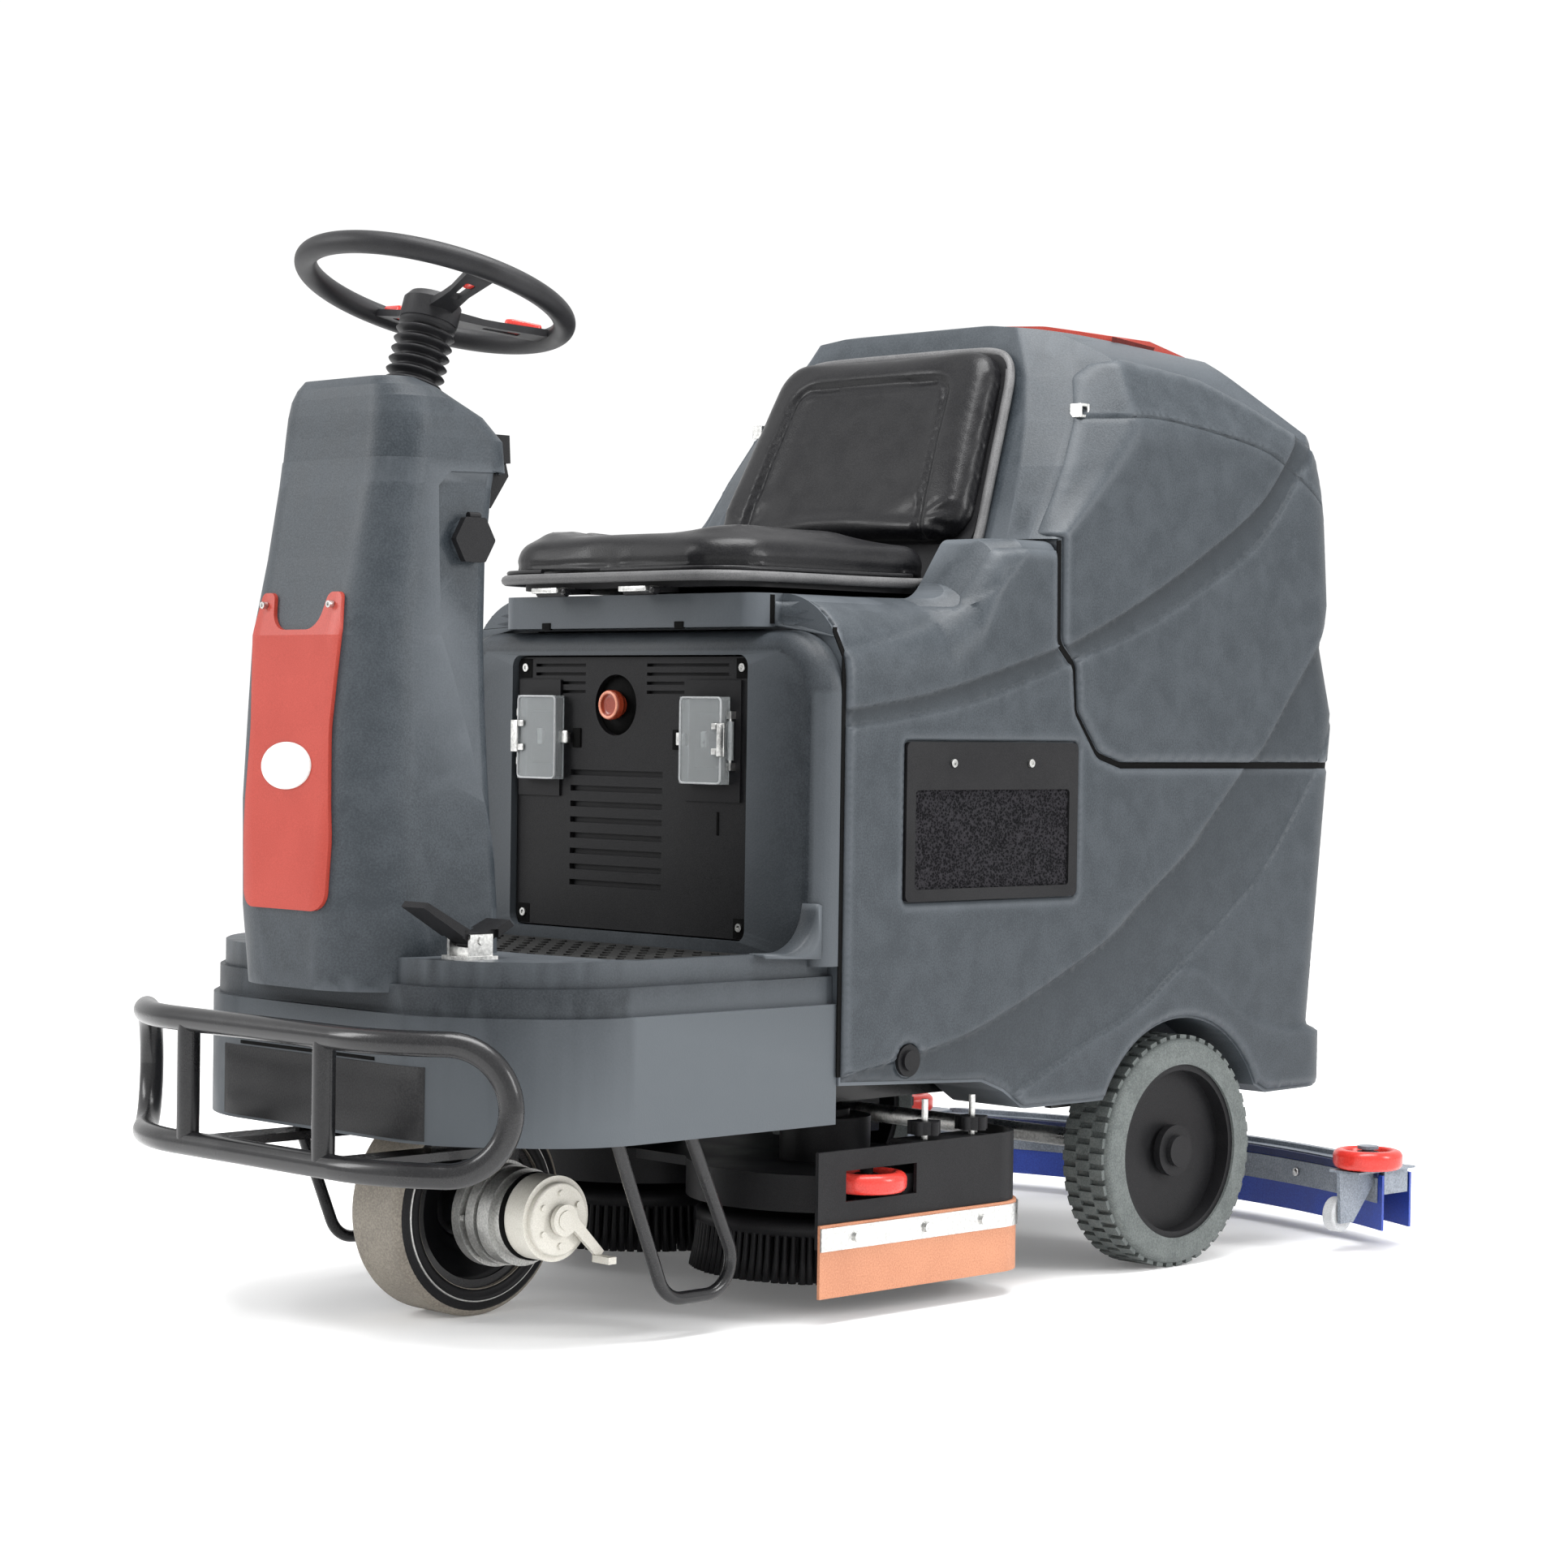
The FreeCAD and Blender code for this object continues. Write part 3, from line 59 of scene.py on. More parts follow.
# Materials --------------------------------------------------------------------------------------
def shade(name, dark, light, rough=(0.42, 0.55), grain=900.0, bump=0.12, blotch=9.0, depth=0.0006,
          metallic=0.0, coat=0.0, specular=0.5, wear=None, cells=False, shadow=None):
    """A moulded, coated or cast surface: mottled colour, uneven gloss and a fine grain. A shadow colour, if
    given, is painted shade mixed in by a mesh's 'sunk' attribute.
    """
    mat = bpy.data.materials.new(name)
    mat.use_nodes = True
    tree = mat.node_tree
    nodes, links = tree.nodes, tree.links
    bsdf = nodes["Principled BSDF"]
    bsdf.inputs["Metallic"].default_value = metallic
    bsdf.inputs["Coat Weight"].default_value = coat
    bsdf.inputs["Specular IOR Level"].default_value = specular
    place = nodes.new("ShaderNodeTexCoord").outputs["Object"]

    def mottle(scale, detail, distort=0.0):
        tex = nodes.new("ShaderNodeTexNoise")
        tex.inputs["Scale"].default_value = scale
        tex.inputs["Detail"].default_value = detail
        tex.inputs["Distortion"].default_value = distort
        links.new(place, tex.inputs["Vector"])
        return tex.outputs["Fac"]

    cloud = mottle(blotch, 5.0, 0.4)
    if cells:
        vor = nodes.new("ShaderNodeTexVoronoi")
        vor.inputs["Scale"].default_value = grain
        links.new(place, vor.inputs["Vector"])
        fine = vor.outputs["Distance"]
    else:
        fine = mottle(grain, 3.0)
    both = nodes.new("ShaderNodeMath")
    both.operation = "MULTIPLY_ADD"
    both.inputs[1].default_value = 0.6
    links.new(fine, both.inputs[0])
    half = nodes.new("ShaderNodeMath")
    half.operation = "MULTIPLY"
    half.inputs[1].default_value = 0.4
    links.new(cloud, half.inputs[0])
    links.new(half.outputs[0], both.inputs[2])
    ramp = nodes.new("ShaderNodeValToRGB")
    ramp.color_ramp.elements[0].position = 0.4
    ramp.color_ramp.elements[1].position = 0.62
    ramp.color_ramp.elements[0].color = (*dark, 1)
    ramp.color_ramp.elements[1].color = (*light, 1)
    links.new(both.outputs[0], ramp.inputs["Fac"])
    colour = ramp.outputs["Color"]
    if wear:
        edge = nodes.new("ShaderNodeNewGeometry")
        edge_ramp = nodes.new("ShaderNodeMapRange")
        edge_ramp.inputs["From Min"].default_value = 0.5
        edge_ramp.inputs["From Max"].default_value = 0.62
        links.new(edge.outputs["Pointiness"], edge_ramp.inputs["Value"])
        mix = nodes.new("ShaderNodeMix")
        mix.data_type = "RGBA"
        mix.inputs[7].default_value = (*wear, 1)
        links.new(colour, mix.inputs[6])
        links.new(edge_ramp.outputs["Result"], mix.inputs[0])
        colour = mix.outputs[2]
    # painted shade: the shadow colour is mixed in by the mesh's 'sunk' attribute
    if shadow:
        sunk = nodes.new("ShaderNodeAttribute")
        sunk.attribute_name = "sunk"
        darker = nodes.new("ShaderNodeMix")
        darker.data_type = "RGBA"
        darker.inputs[7].default_value = (*shadow, 1)
        links.new(colour, darker.inputs[6])
        links.new(sunk.outputs["Fac"], darker.inputs[0])
        colour = darker.outputs[2]
    links.new(colour, bsdf.inputs["Base Color"])
    gloss = nodes.new("ShaderNodeMapRange")
    gloss.inputs["From Min"].default_value = 0.3
    gloss.inputs["From Max"].default_value = 0.7
    gloss.inputs["To Min"].default_value = rough[0]
    gloss.inputs["To Max"].default_value = rough[1]
    links.new(cloud, gloss.inputs["Value"])
    links.new(gloss.outputs["Result"], bsdf.inputs["Roughness"])
    if bump:
        relief = nodes.new("ShaderNodeBump")
        relief.inputs["Strength"].default_value = bump
        relief.inputs["Distance"].default_value = depth
        links.new(fine, relief.inputs["Height"])
        links.new(relief.outputs["Normal"], bsdf.inputs["Normal"])
    return mat


def clear(name):
    """Slightly hazy clear plastic."""
    mat = bpy.data.materials.new(name)
    mat.use_nodes = True
    nodes, links = mat.node_tree.nodes, mat.node_tree.links
    bsdf = nodes["Principled BSDF"]
    bsdf.inputs["Base Color"].default_value = (0.62, 0.65, 0.66, 1)
    bsdf.inputs["Transmission Weight"].default_value = 0.72
    bsdf.inputs["IOR"].default_value = 1.3
    tex = nodes.new("ShaderNodeTexNoise")
    tex.inputs["Scale"].default_value = 60.0
    gloss = nodes.new("ShaderNodeMapRange")
    gloss.inputs["To Min"].default_value = 0.05
    gloss.inputs["To Max"].default_value = 0.2
    links.new(tex.outputs["Fac"], gloss.inputs["Value"])
    links.new(gloss.outputs["Result"], bsdf.inputs["Roughness"])
    return mat


# BODY's shadow colour is painted shade for the sunken bands of the side skins.
BODY = shade("rotomoulded", (0.021, 0.027, 0.033), (0.040, 0.048, 0.056), (0.42, 0.52), 480, 0.3, 30, 0.0008,
             specular=0.28, wear=(0.085, 0.096, 0.108), shadow=(0.010, 0.014, 0.018))
# A darker copy of the body moulding: painted shade for the front base, whose side catches more light.
SHADED_BASE = shade("base_painted_shade", (0.015, 0.019, 0.023), (0.030, 0.035, 0.041), (0.44, 0.54), 480, 0.3, 30,
             0.0008, specular=0.26, wear=(0.075, 0.085, 0.095))
# Painted shade for the lower front of the nose, under the bumper.
NOSE_SHADE = shade("nose_painted_shade", (0.014, 0.014, 0.015), (0.028, 0.028, 0.029), (0.5, 0.6), 480, 0.3, 22,
              0.0007, specular=0.2)
RED = shade("coral_moulding", (0.30, 0.034, 0.022), (0.38, 0.050, 0.034), (0.32, 0.44), 800, 0.12, 7, 0.0004,
            specular=0.3)
BLACK = shade("black_moulding", (0.005, 0.005, 0.006), (0.014, 0.014, 0.015), (0.42, 0.56), 1100, 0.3, 12,
              0.0005, specular=0.16)
COAT = shade("powder_coat", (0.006, 0.006, 0.007), (0.015, 0.015, 0.016), (0.2, 0.32), 500, 0.16, 10, 0.0004,
             specular=0.35, coat=0.1)
GRIP = shade("grip_rubber", (0.008, 0.008, 0.009), (0.02, 0.02, 0.022), (0.42, 0.55), 1300, 0.35, 16, 0.0004,
             specular=0.25)
ZINC = shade("zinc_plate", (0.45, 0.45, 0.44), (0.72, 0.72, 0.7), (0.22, 0.42), 240, 0.1, 30, 0.0003,
             metallic=1.0)
CAST = shade("cast_aluminium", (0.36, 0.36, 0.35), (0.58, 0.58, 0.56), (0.35, 0.55), 420, 0.35, 24, 0.0006,
             metallic=0.85)
IVORY = shade("ivory_moulding", (0.55, 0.53, 0.47), (0.68, 0.66, 0.60), (0.32, 0.45), 700, 0.12, 12, 0.0004)
VINYL = shade("upholstery_vinyl", (0.003, 0.003, 0.004), (0.008, 0.008, 0.009), (0.3, 0.42), 520, 0.22, 26,
              0.0005, specular=0.22, coat=0.04, cells=True)
TYRE = shade("tyre_rubber", (0.072, 0.082, 0.080), (0.125, 0.138, 0.134), (0.6, 0.78), 500, 0.3, 40, 0.0006,
             specular=0.3)
GUM = shade("gum_rubber", (0.38, 0.15, 0.075), (0.50, 0.22, 0.12), (0.45, 0.6), 500, 0.18, 9, 0.0005)
BLUE = shade("blue_blade", (0.006, 0.028, 0.24), (0.014, 0.055, 0.38), (0.35, 0.5), 500, 0.15, 14, 0.0004)
NAVY = shade("navy_strip", (0.010, 0.016, 0.06), (0.02, 0.03, 0.1), (0.4, 0.52), 500, 0.15, 14, 0.0004,
             specular=0.3)
CASTING = shade("squeegee_casting", (0.13, 0.15, 0.18), (0.25, 0.28, 0.32), (0.35, 0.5), 420, 0.3, 18, 0.0006)
ROLLER = shade("roller_red", (0.52, 0.025, 0.018), (0.66, 0.05, 0.036), (0.22, 0.36), 600, 0.12, 14, 0.0003,
               specular=0.4, coat=0.1)
PALE = shade("pale_rubber", (0.36, 0.37, 0.38), (0.5, 0.51, 0.52), (0.5, 0.65), 600, 0.2, 20, 0.0004)
MAT = shade("mat_rubber", (0.008, 0.008, 0.008), (0.024, 0.024, 0.023), (0.6, 0.8), 500, 0.4, 30, 0.0008,
            specular=0.25)
FOAM = shade("vent_foam", (0.003, 0.003, 0.004), (0.022, 0.021, 0.024), (0.85, 0.95), 330, 1.0, 60, 0.003,
             specular=0.1, cells=True)
ORANGE = shade("button_orange", (0.24, 0.03, 0.012), (0.34, 0.05, 0.02), (0.25, 0.35), 600, 0.1, 30, 0.0003)
# Pale orange as a painted highlight on the stop button's rim.
RIM_HIGHLIGHT = shade("button_rim_highlight", (0.72, 0.26, 0.16), (0.85, 0.36, 0.24), (0.25, 0.35), 600, 0.1, 30, 0.0003)
CASE = shade("battery_case", (0.012, 0.012, 0.012), (0.03, 0.03, 0.03), (0.4, 0.6), 500, 0.25, 16, 0.0005)
TREAD = shade("drive_tread", (0.16, 0.14, 0.115), (0.26, 0.235, 0.195), (0.55, 0.7), 420, 0.35, 22, 0.0006)
TRIM = shade("seat_trim", (0.07, 0.07, 0.072), (0.12, 0.12, 0.122), (0.42, 0.55), 700, 0.2, 30, 0.0004,
             specular=0.3)
PLATE = shade("plain_oval", (0.62, 0.62, 0.60), (0.72, 0.72, 0.70), (0.22, 0.3), 500, 0.08, 14, 0.0003)
GLASS = clear("clear_cover")
# Near-black painted shade, laid in slots, wells, notches, seams and gaps.
RECESS_SHADE = shade("recess_painted_shade", (0.0015, 0.0015, 0.0015), (0.004, 0.004, 0.004), (0.7, 0.85), 500, 0.1, 20,
            0.0003, specular=0.08)
# Dark red painted shade for the lid's finger notch.
NOTCH_SHADE = shade("shaded_red", (0.06, 0.006, 0.004), (0.1, 0.01, 0.008), (0.5, 0.6), 500, 0.1, 20, 0.0003,
               specular=0.15)

LOOK = {"body_moulding": BODY, "red_panel": RED, "black_plastic": BLACK, "black_steel": COAT,
        "zinc_steel": ZINC, "vinyl": VINYL, "tyre_grey": TYRE, "drive_tread": TREAD, "cast_motor": CAST,
        "brake_ivory": IVORY, "clear_plastic": GLASS, "bristle": BLACK, "amber_rubber": GUM,
        "blue_rubber": BLUE, "grey_cast": CASTING, "red_roller": ROLLER, "caster_grey": PALE,
        "mat_rubber": MAT, "button_orange": ORANGE, "battery_case": CASE}
for part in frame["record"]["subparts"]:
    node = frame["nodes"][part["node"]]
    for place in node.material_slots:
        place.material = LOOK[part["material_slot"]]
for name in ("steering_wheel", "bellows", "steering_shaft"):
    for place in frame["nodes"][name].material_slots:
        place.material = GRIP
# The front base gets the darker copy as painted shade.
for place in frame["nodes"]["front_body"].material_slots:
    place.material = SHADED_BASE

# Mesh helpers -----------------------------------------------------------------------------------
def piece(name, verts, faces, body, mat, smooth=True, stations=True):
    """A mesh that rides on a body. Its points are stations, or metres in the frame."""
    mesh = bpy.data.meshes.new(name)
    mesh.from_pydata([spot(*v) if stations else v for v in verts], [], faces)
    mesh.materials.append(mat)
    obj = bpy.data.objects.new(name, mesh)
    scene.collection.objects.link(obj)
    for poly in mesh.polygons:
        poly.use_smooth = smooth
    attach(obj, body)
    return obj


def prism_faces(n, layers=2):
    """The faces of a solid whose corners are given layer by layer, n to a layer."""
    sides = [(r * n + i, r * n + (i + 1) % n, (r + 1) * n + (i + 1) % n, (r + 1) * n + i)
             for r in range(layers - 1) for i in range(n)]
    return [list(range(n))[::-1], list(range((layers - 1) * n, layers * n))] + sides


def tidy_normals(obj):
    """Turns every face outwards."""
    bm = bmesh.new()
    bm.from_mesh(obj.data)
    bmesh.ops.recalc_face_normals(bm, faces=bm.faces)
    bm.to_mesh(obj.data)
    bm.free()


def bevel(obj, width, segments=3):
    """Softens the sharp edges."""
    mod = obj.modifiers.new("bevel", "BEVEL")
    mod.width = width / 1000
    mod.segments = segments
    mod.limit_method = "ANGLE"
    mod.angle_limit = math.radians(35)
    mod.harden_normals = False


def subdivide(obj):
    """One level of subdivision."""
    mod = obj.modifiers.new("smooth", "SUBSURF")
    mod.levels = 1
    mod.render_levels = 1


def revolve(name, profile, origin, axis, body, mat, turns=48, closed=False):
    """A turned form. profile: (radius, distance along the axis) in millimetres."""
    axis = Vector(axis).normalized()
    side = axis.orthogonal().normalized()
    other = axis.cross(side)
    verts, faces = [], []
    n = len(profile)
    for k in range(turns):
        a = 2 * math.pi * k / turns
        out = side * math.cos(a) + other * math.sin(a)
        for r, h in profile:
            verts.append(Vector(origin) + out * r + axis * h)
    for k in range(turns):
        m = (k + 1) % turns
        for i in range(n if closed else n - 1):
            j = (i + 1) % n
            faces.append((k * n + i, m * n + i, m * n + j, k * n + j))
    if not closed:
        faces.append([k * n for k in range(turns)][::-1])
        faces.append([k * n + n - 1 for k in range(turns)])
    obj = piece(name, verts, faces, body, mat)
    tidy_normals(obj)
    return obj


def rounded(points, step=5.0):
    """A polygon with rounded corners, as evenly spaced points. points: (a, b, radius)."""
    n = len(points)
    runs = []
    for i in range(n):
        p = Vector(points[i][:2])
        r = points[i][2] if len(points[i]) > 2 else 0
        back = (Vector(points[i - 1][:2]) - p).normalized()
        ahead = (Vector(points[(i + 1) % n][:2]) - p).normalized()
        if r:
            half = back.angle(ahead) / 2
            run = r / math.tan(half)
            centre = p + (back + ahead).normalized() * (r / math.sin(half))
            a, b = p + back * run, p + ahead * run
            count = max(3, int((a - b).length / step * 1.2))
            for k in range(count + 1):
                q = a.lerp(b, k / count)
                runs.append(centre + (q - centre).normalized() * r)
        else:
            runs.append(p)
    out = []
    for i, p in enumerate(runs):
        q = runs[(i + 1) % len(runs)]
        count = max(1, round((q - p).length / step))
        out += [p.lerp(q, k / count) for k in range(count)]
    return out


def through(points, count=8):
    """A smooth line through a few (a, b) points."""
    pts = [Vector(p) for p in points]
    pts = [pts[0] * 2 - pts[1]] + pts + [pts[-1] * 2 - pts[-2]]
    out = []
    for i in range(1, len(pts) - 2):
        p0, p1, p2, p3 = pts[i - 1:i + 3]
        for k in range(count):
            t = k / count
            out.append(0.5 * (2 * p1 + (p2 - p0) * t + (2 * p0 - 5 * p1 + 4 * p2 - p3) * t * t
                              + (3 * p1 - p0 - 3 * p2 + p3) * t ** 3))
    out.append(pts[-2])
    return out


def beside(p, line):
    """Signed distance from a line, positive on its left."""
    best, sign = 1e9, 1.0
    for i in range(len(line) - 1):
        a, b = line[i], line[i + 1]
        ab = b - a
        t = max(0.0, min(1.0, (p - a).dot(ab) / ab.length_squared))
        off = p - (a + ab * t)
        if off.length < best:
            best = off.length
            sign = 1.0 if ab.x * off.y - ab.y * off.x > 0 else -1.0
    return sign * best


def ease(t):
    """A smooth step from 0 to 1."""
    t = max(0.0, min(1.0, t))
    return t * t * (3 - 2 * t)


def within(p, loop):
    """Whether a point is inside a closed outline."""
    inside = False
    for i in range(len(loop)):
        a, b = loop[i - 1], loop[i]
        if (a.y > p.y) != (b.y > p.y) and p.x < (b.x - a.x) * (p.y - a.y) / (b.y - a.y) + a.x:
            inside = not inside
    return inside


# Moulded side skins -------------------------------------------------------------------------------
BAND_TOP = through([(-210, 712), (-100, 727), (2, 749), (153, 790), (200, 803), (317, 853), (441, 916),
                    (563, 990), (640, 1075)])
BAND_LOW = through([(-210, 690), (-90, 706), (30, 728), (176, 771), (318, 817), (442, 872), (564, 941),
                    (660, 1045)])
SWOOSH_TOP = through([(735, 850), (688, 798), (643, 748), (577, 670), (538, 642), (457, 568), (428, 540),
                      (327, 472), (256, 424), (96, 355), (-26, 316), (-210, 285)])
SWOOSH_LOW = through([(735, 690), (672, 608), (587, 510), (494, 441), (411, 388), (331, 339), (226, 298),
                      (92, 243)])
ARCH_LINE = through([(411, 388), (455, 384), (497, 356), (547, 322), (606, 302), (667, 297), (735, 296)])
SHOULDER = through([(120, 930), (97, 905), (38, 854), (-54, 814), (-150, 790), (-210, 782)])
CROWN = through([(230, 1082), (290, 1086), (379, 1088), (539, 1068), (613, 1046), (700, 1000)])

STEP = 2.4  # half the width of the slope at a crease
PROUD = 6.0  # how far the skin stands out
SWOOSH_DEPTH, BAND_DEPTH, PANEL_DEPTH, GROOVE_DEPTH = 5.0, 4.2, 2.6, 3.0
THINNEST = 0.8


def past(distance):
    """0 before a crease line and 1 beyond it, with a short slope between."""
    return max(0.0, min(1.0, (distance + STEP) / (2 * STEP)))


def relief(y, z):
    """How far the sculpted side stands out of its plane, in millimetres."""
    p = Vector((y, z))
    low, under = beside(p, SWOOSH_TOP), beside(p, SWOOSH_LOW)
    over, bottom = beside(p, BAND_TOP), beside(p, BAND_LOW)
    swoosh = past(low) * (1 - past(under))
    out = PROUD - SWOOSH_DEPTH * swoosh
    out -= BAND_DEPTH * past(-over) * past(bottom) * (1 - past(low))
    if y > 380:
        out -= PANEL_DEPTH * past(under) * past(beside(p, ARCH_LINE))
    if z > 740 and y < 165:
        out -= PANEL_DEPTH * past(-beside(p, SHOULDER))
    if z > 960:
        out -= GROOVE_DEPTH * max(0.0, 1 - abs(beside(p, CROWN)) / STEP)
    return max(out, THINNEST)


def sunk(y, z):
    """How much painted shade a point of the side gets: the two sunken bands fade from their upper edge to
    their lower one.
    """
    p = Vector((y, z))
    low = beside(p, SWOOSH_TOP)
    spans = [(low, -beside(p, SWOOSH_LOW), 0.55)]
    if low < 0:
        spans.append((-beside(p, BAND_TOP), beside(p, BAND_LOW), 0.9))
    inside = [(above, below, most) for above, below, most in spans if above > 0 and below > 0]
    return max([most * (0.2 + 0.8 * below / (above + below)) for above, below, most in inside], default=0.0)


def shifted(line, by):
    """A line moved sideways."""
    out = []
    for i, p in enumerate(line):
        ahead = (line[min(i + 1, len(line) - 1)] - line[max(i - 1, 0)]).normalized()
        out.append(p + Vector((-ahead.y, ahead.x)) * by)
    return out


def surface(node):
    """A CAD node's surface, to cast rays at."""
    mesh = frame["nodes"][node].data
    return BVHTree.FromPolygons([v.co for v in mesh.vertices], [p.vertices for p in mesh.polygons])


def skin(name, body, node, outline, side, holes=(), pitch=6.0):
    """A raised skin laid on a moulding's side, cut to an outline, with its edges rolled in."""
    tree = surface(node)
    loops = [outline] + list(holes)
    points, edges = [], []
    for loop in loops:
        first = len(points)
        points += loop
        edges += [(first + i, first + (i + 1) % len(loop)) for i in range(len(loop))]
    for line in (SWOOSH_TOP, SWOOSH_LOW, BAND_TOP, BAND_LOW, ARCH_LINE, SHOULDER, CROWN):
        for by in (-STEP, 0.0, STEP) if line is CROWN else (-STEP, STEP):
            row = shifted(line, by)
            first = len(points)
            points += row
            edges += [(first + i, first + i + 1) for i in range(len(row) - 1)]
    lo_y, hi_y = min(p.x for p in outline), max(p.x for p in outline)
    lo_z, hi_z = min(p.y for p in outline), max(p.y for p in outline)
    near = {}
    for p in points:
        near.setdefault((int(p.x // 8), int(p.y // 8)), []).append(p)
    row = 0
    z = lo_z + pitch / 2
    while z < hi_z:
        y = lo_y + pitch / 2 + (row % 2) * pitch / 2
        while y < hi_y:
            p = Vector((y, z))
            cell = (int(y // 8), int(z // 8))
            close = any((q - p).length < pitch * 0.55 for i in (-1, 0, 1) for j in (-1, 0, 1)
                        for q in near.get((cell[0] + i, cell[1] + j), ()))
            if not close and within(p, outline) and not any(within(p, h) for h in holes):
                points.append(p)
            y += pitch
        z += pitch * 0.87
        row += 1
    made = geometry.delaunay_2d_cdt(points, edges, [], 1, 1e-4)
    flat, tris, origin = made[0], made[2], made[3]
    tris = [t for t in tris if len(t) == 3]
    tris = [t for t in tris if within((flat[t[0]] + flat[t[1]] + flat[t[2]]) / 3, outline)
            and not any(within((flat[t[0]] + flat[t[1]] + flat[t[2]]) / 3, h) for h in holes)]
    count = {}
    for t in tris:
        for i in range(3):
            key = tuple(sorted((t[i], t[(i + 1) % 3])))
            count.setdefault(key, []).append((t[i], t[(i + 1) % 3]))
    border = [v[0] for v in count.values() if len(v) == 1]
    on_rim = {i for e in border for i in e}
    verts, base = [], []
    for i, p in enumerate(flat):
        start = spot(side * 600, p.x, p.y)
        hit = tree.ray_cast(start, Vector((-side, 0, 0)))[0]
        if hit is None:
            hit = tree.find_nearest(spot(side * SIDE_X, p.x, p.y))[0]
        out = Vector((side, 0, 0))
        lift = relief(p.x, p.y)
        if i in on_rim:
            lift = max(0.4, lift - 2.2)
        verts.append(hit + out * lift / 1000)
        base.append(hit - out * 0.0015)
    faces = [tuple(t) if side > 0 else tuple(reversed(t)) for t in tris]
    index = {}
    for i in sorted(on_rim):
        index[i] = len(verts)
        verts.append(base[i])
    for a, b in border:
        quad = (b, a, index[a], index[b])
        faces.append(quad if side > 0 else tuple(reversed(quad)))
    obj = piece(name, verts, faces, body, BODY, stations=False)
    tidy_normals(obj)
    # painted shade for the sunken bands, read by BODY's shadow colour
    tone = obj.data.attributes.new("sunk", "FLOAT", "POINT")
    for i, p in enumerate(flat):
        tone.data[i].value = sunk(p.x, p.y)


def seam(name, path, side, width=8.0):
    """A near-black strip of painted shade along the gap between two skins. path: (y, z, radius)."""
    line = rounded(path)
    line = line[:1 + min(range(len(line)), key=lambda i: (line[i] - Vector(path[-1][:2])).length)]
    trees = [surface("solution_tank"), surface("recovery_tank")]
    verts, faces = [], []
    for i, p in enumerate(line):
        ahead = (line[min(i + 1, len(line) - 1)] - line[max(i - 1, 0)]).normalized()
        across = Vector((-ahead.y, ahead.x)) * width / 2
        for q, lift in ((p + across, -1.0), (p + across, 0.7), (p - across, 0.7), (p - across, -1.0)):
            hits = [t.ray_cast(spot(side * 600, q.x, q.y), Vector((-side, 0, 0)))[0] for t in trees]
            reach = max([abs(h.x) for h in hits if h] or [SIDE_X / 1000])
            verts.append((side * (reach * 1000 + lift), q.x, q.y))
    for k in range(len(line) - 1):
        for i in range(4):
            j = (i + 1) % 4
            faces.append((k * 4 + i, k * 4 + 4 + i, k * 4 + 4 + j, k * 4 + j))
    end = 4 * len(line) - 4
    faces += [(0, 1, 2, 3), (end + 3, end + 2, end + 1, end)]
    tidy_normals(piece(name, verts, faces, "chassis", RECESS_SHADE, smooth=False))


def arc(centre, radius, start, end, step=5.0):
    """Points along a circle's arc, its start and end in degrees."""
    count = max(2, int(abs(math.radians(end - start)) * radius / step))
    turns = [math.radians(start + (end - start) * k / count) for k in range(count + 1)]
    return [(centre[0] + radius * math.cos(a), centre[1] + radius * math.sin(a)) for a in turns]


TANK_SIDE = rounded([(-208, 279), (-208, 772), (-224, 800), (-224, 838), (10, 838, 20), (62, 912, 16),
                     (158, 912), (160, 796, 22), (190, 769, 20), (195, 712, 20), (239, 656, 24),
                     (285, 643.5, 12), (744, 643.5), (706, 303), (730, 291), (730, 219, 8), (602, 218),
                     (578, 230)] + arc((420, 150), 175, 26, 152)
                    + [(250, 230), (113, 230, 20), (77, 253, 30), (38, 267)])
UPPER_SIDE = rounded([(290, 651.5, 12), (245, 664, 24), (203, 716, 20), (198, 775, 20), (172, 801, 20),
                      (172, 930, 3), (156, 932, 3), (188, 980), (213, 1021), (249, 1080), (276, 1140, 20),
                      (300, 1158, 20), (340, 1166, 40), (480, 1150, 60), (560, 1124, 40), (650, 1086, 40),
                      (704, 1060, 20), (724, 980), (734, 862, 30), (725, 805, 30), (752, 717, 30),
                      (744, 651.5)])
PLUG = rounded(arc((-97, 298), 21, 0, 337.5, 8.24), 9)
VENT = rounded([(-112, 484, 6), (-112, 677, 6), (202, 677, 6), (202, 484, 6)])
for side, word in SIDES:
    skin("tank_side_" + word, "chassis", "solution_tank", TANK_SIDE, side, [VENT, PLUG])
    skin("upper_side_" + word, "tank", "recovery_tank", UPPER_SIDE, side)
    seam("tank_seam_" + word, [(165, 925), (166, 798, 22), (194, 772, 20), (198, 714, 20), (241, 660, 24),
                               (286, 647.5, 12), (742, 647.5)], side)
    seam("front_seam_" + word, [(-212, 285), (-212, 774), (-228, 802), (-228, 846)], side, 6.0)


# Seat ----------------------------------------------------------------------------------------------
LEAN = math.radians(24)
SWELL = 0.006  # the most that cloth may move a point, in metres
BACK_AT = Vector((0, 92, 932))
BACK_UP = Vector((0, math.sin(LEAN), math.cos(LEAN)))
BACK_OUT = Vector((0, -math.cos(LEAN), math.sin(LEAN)))


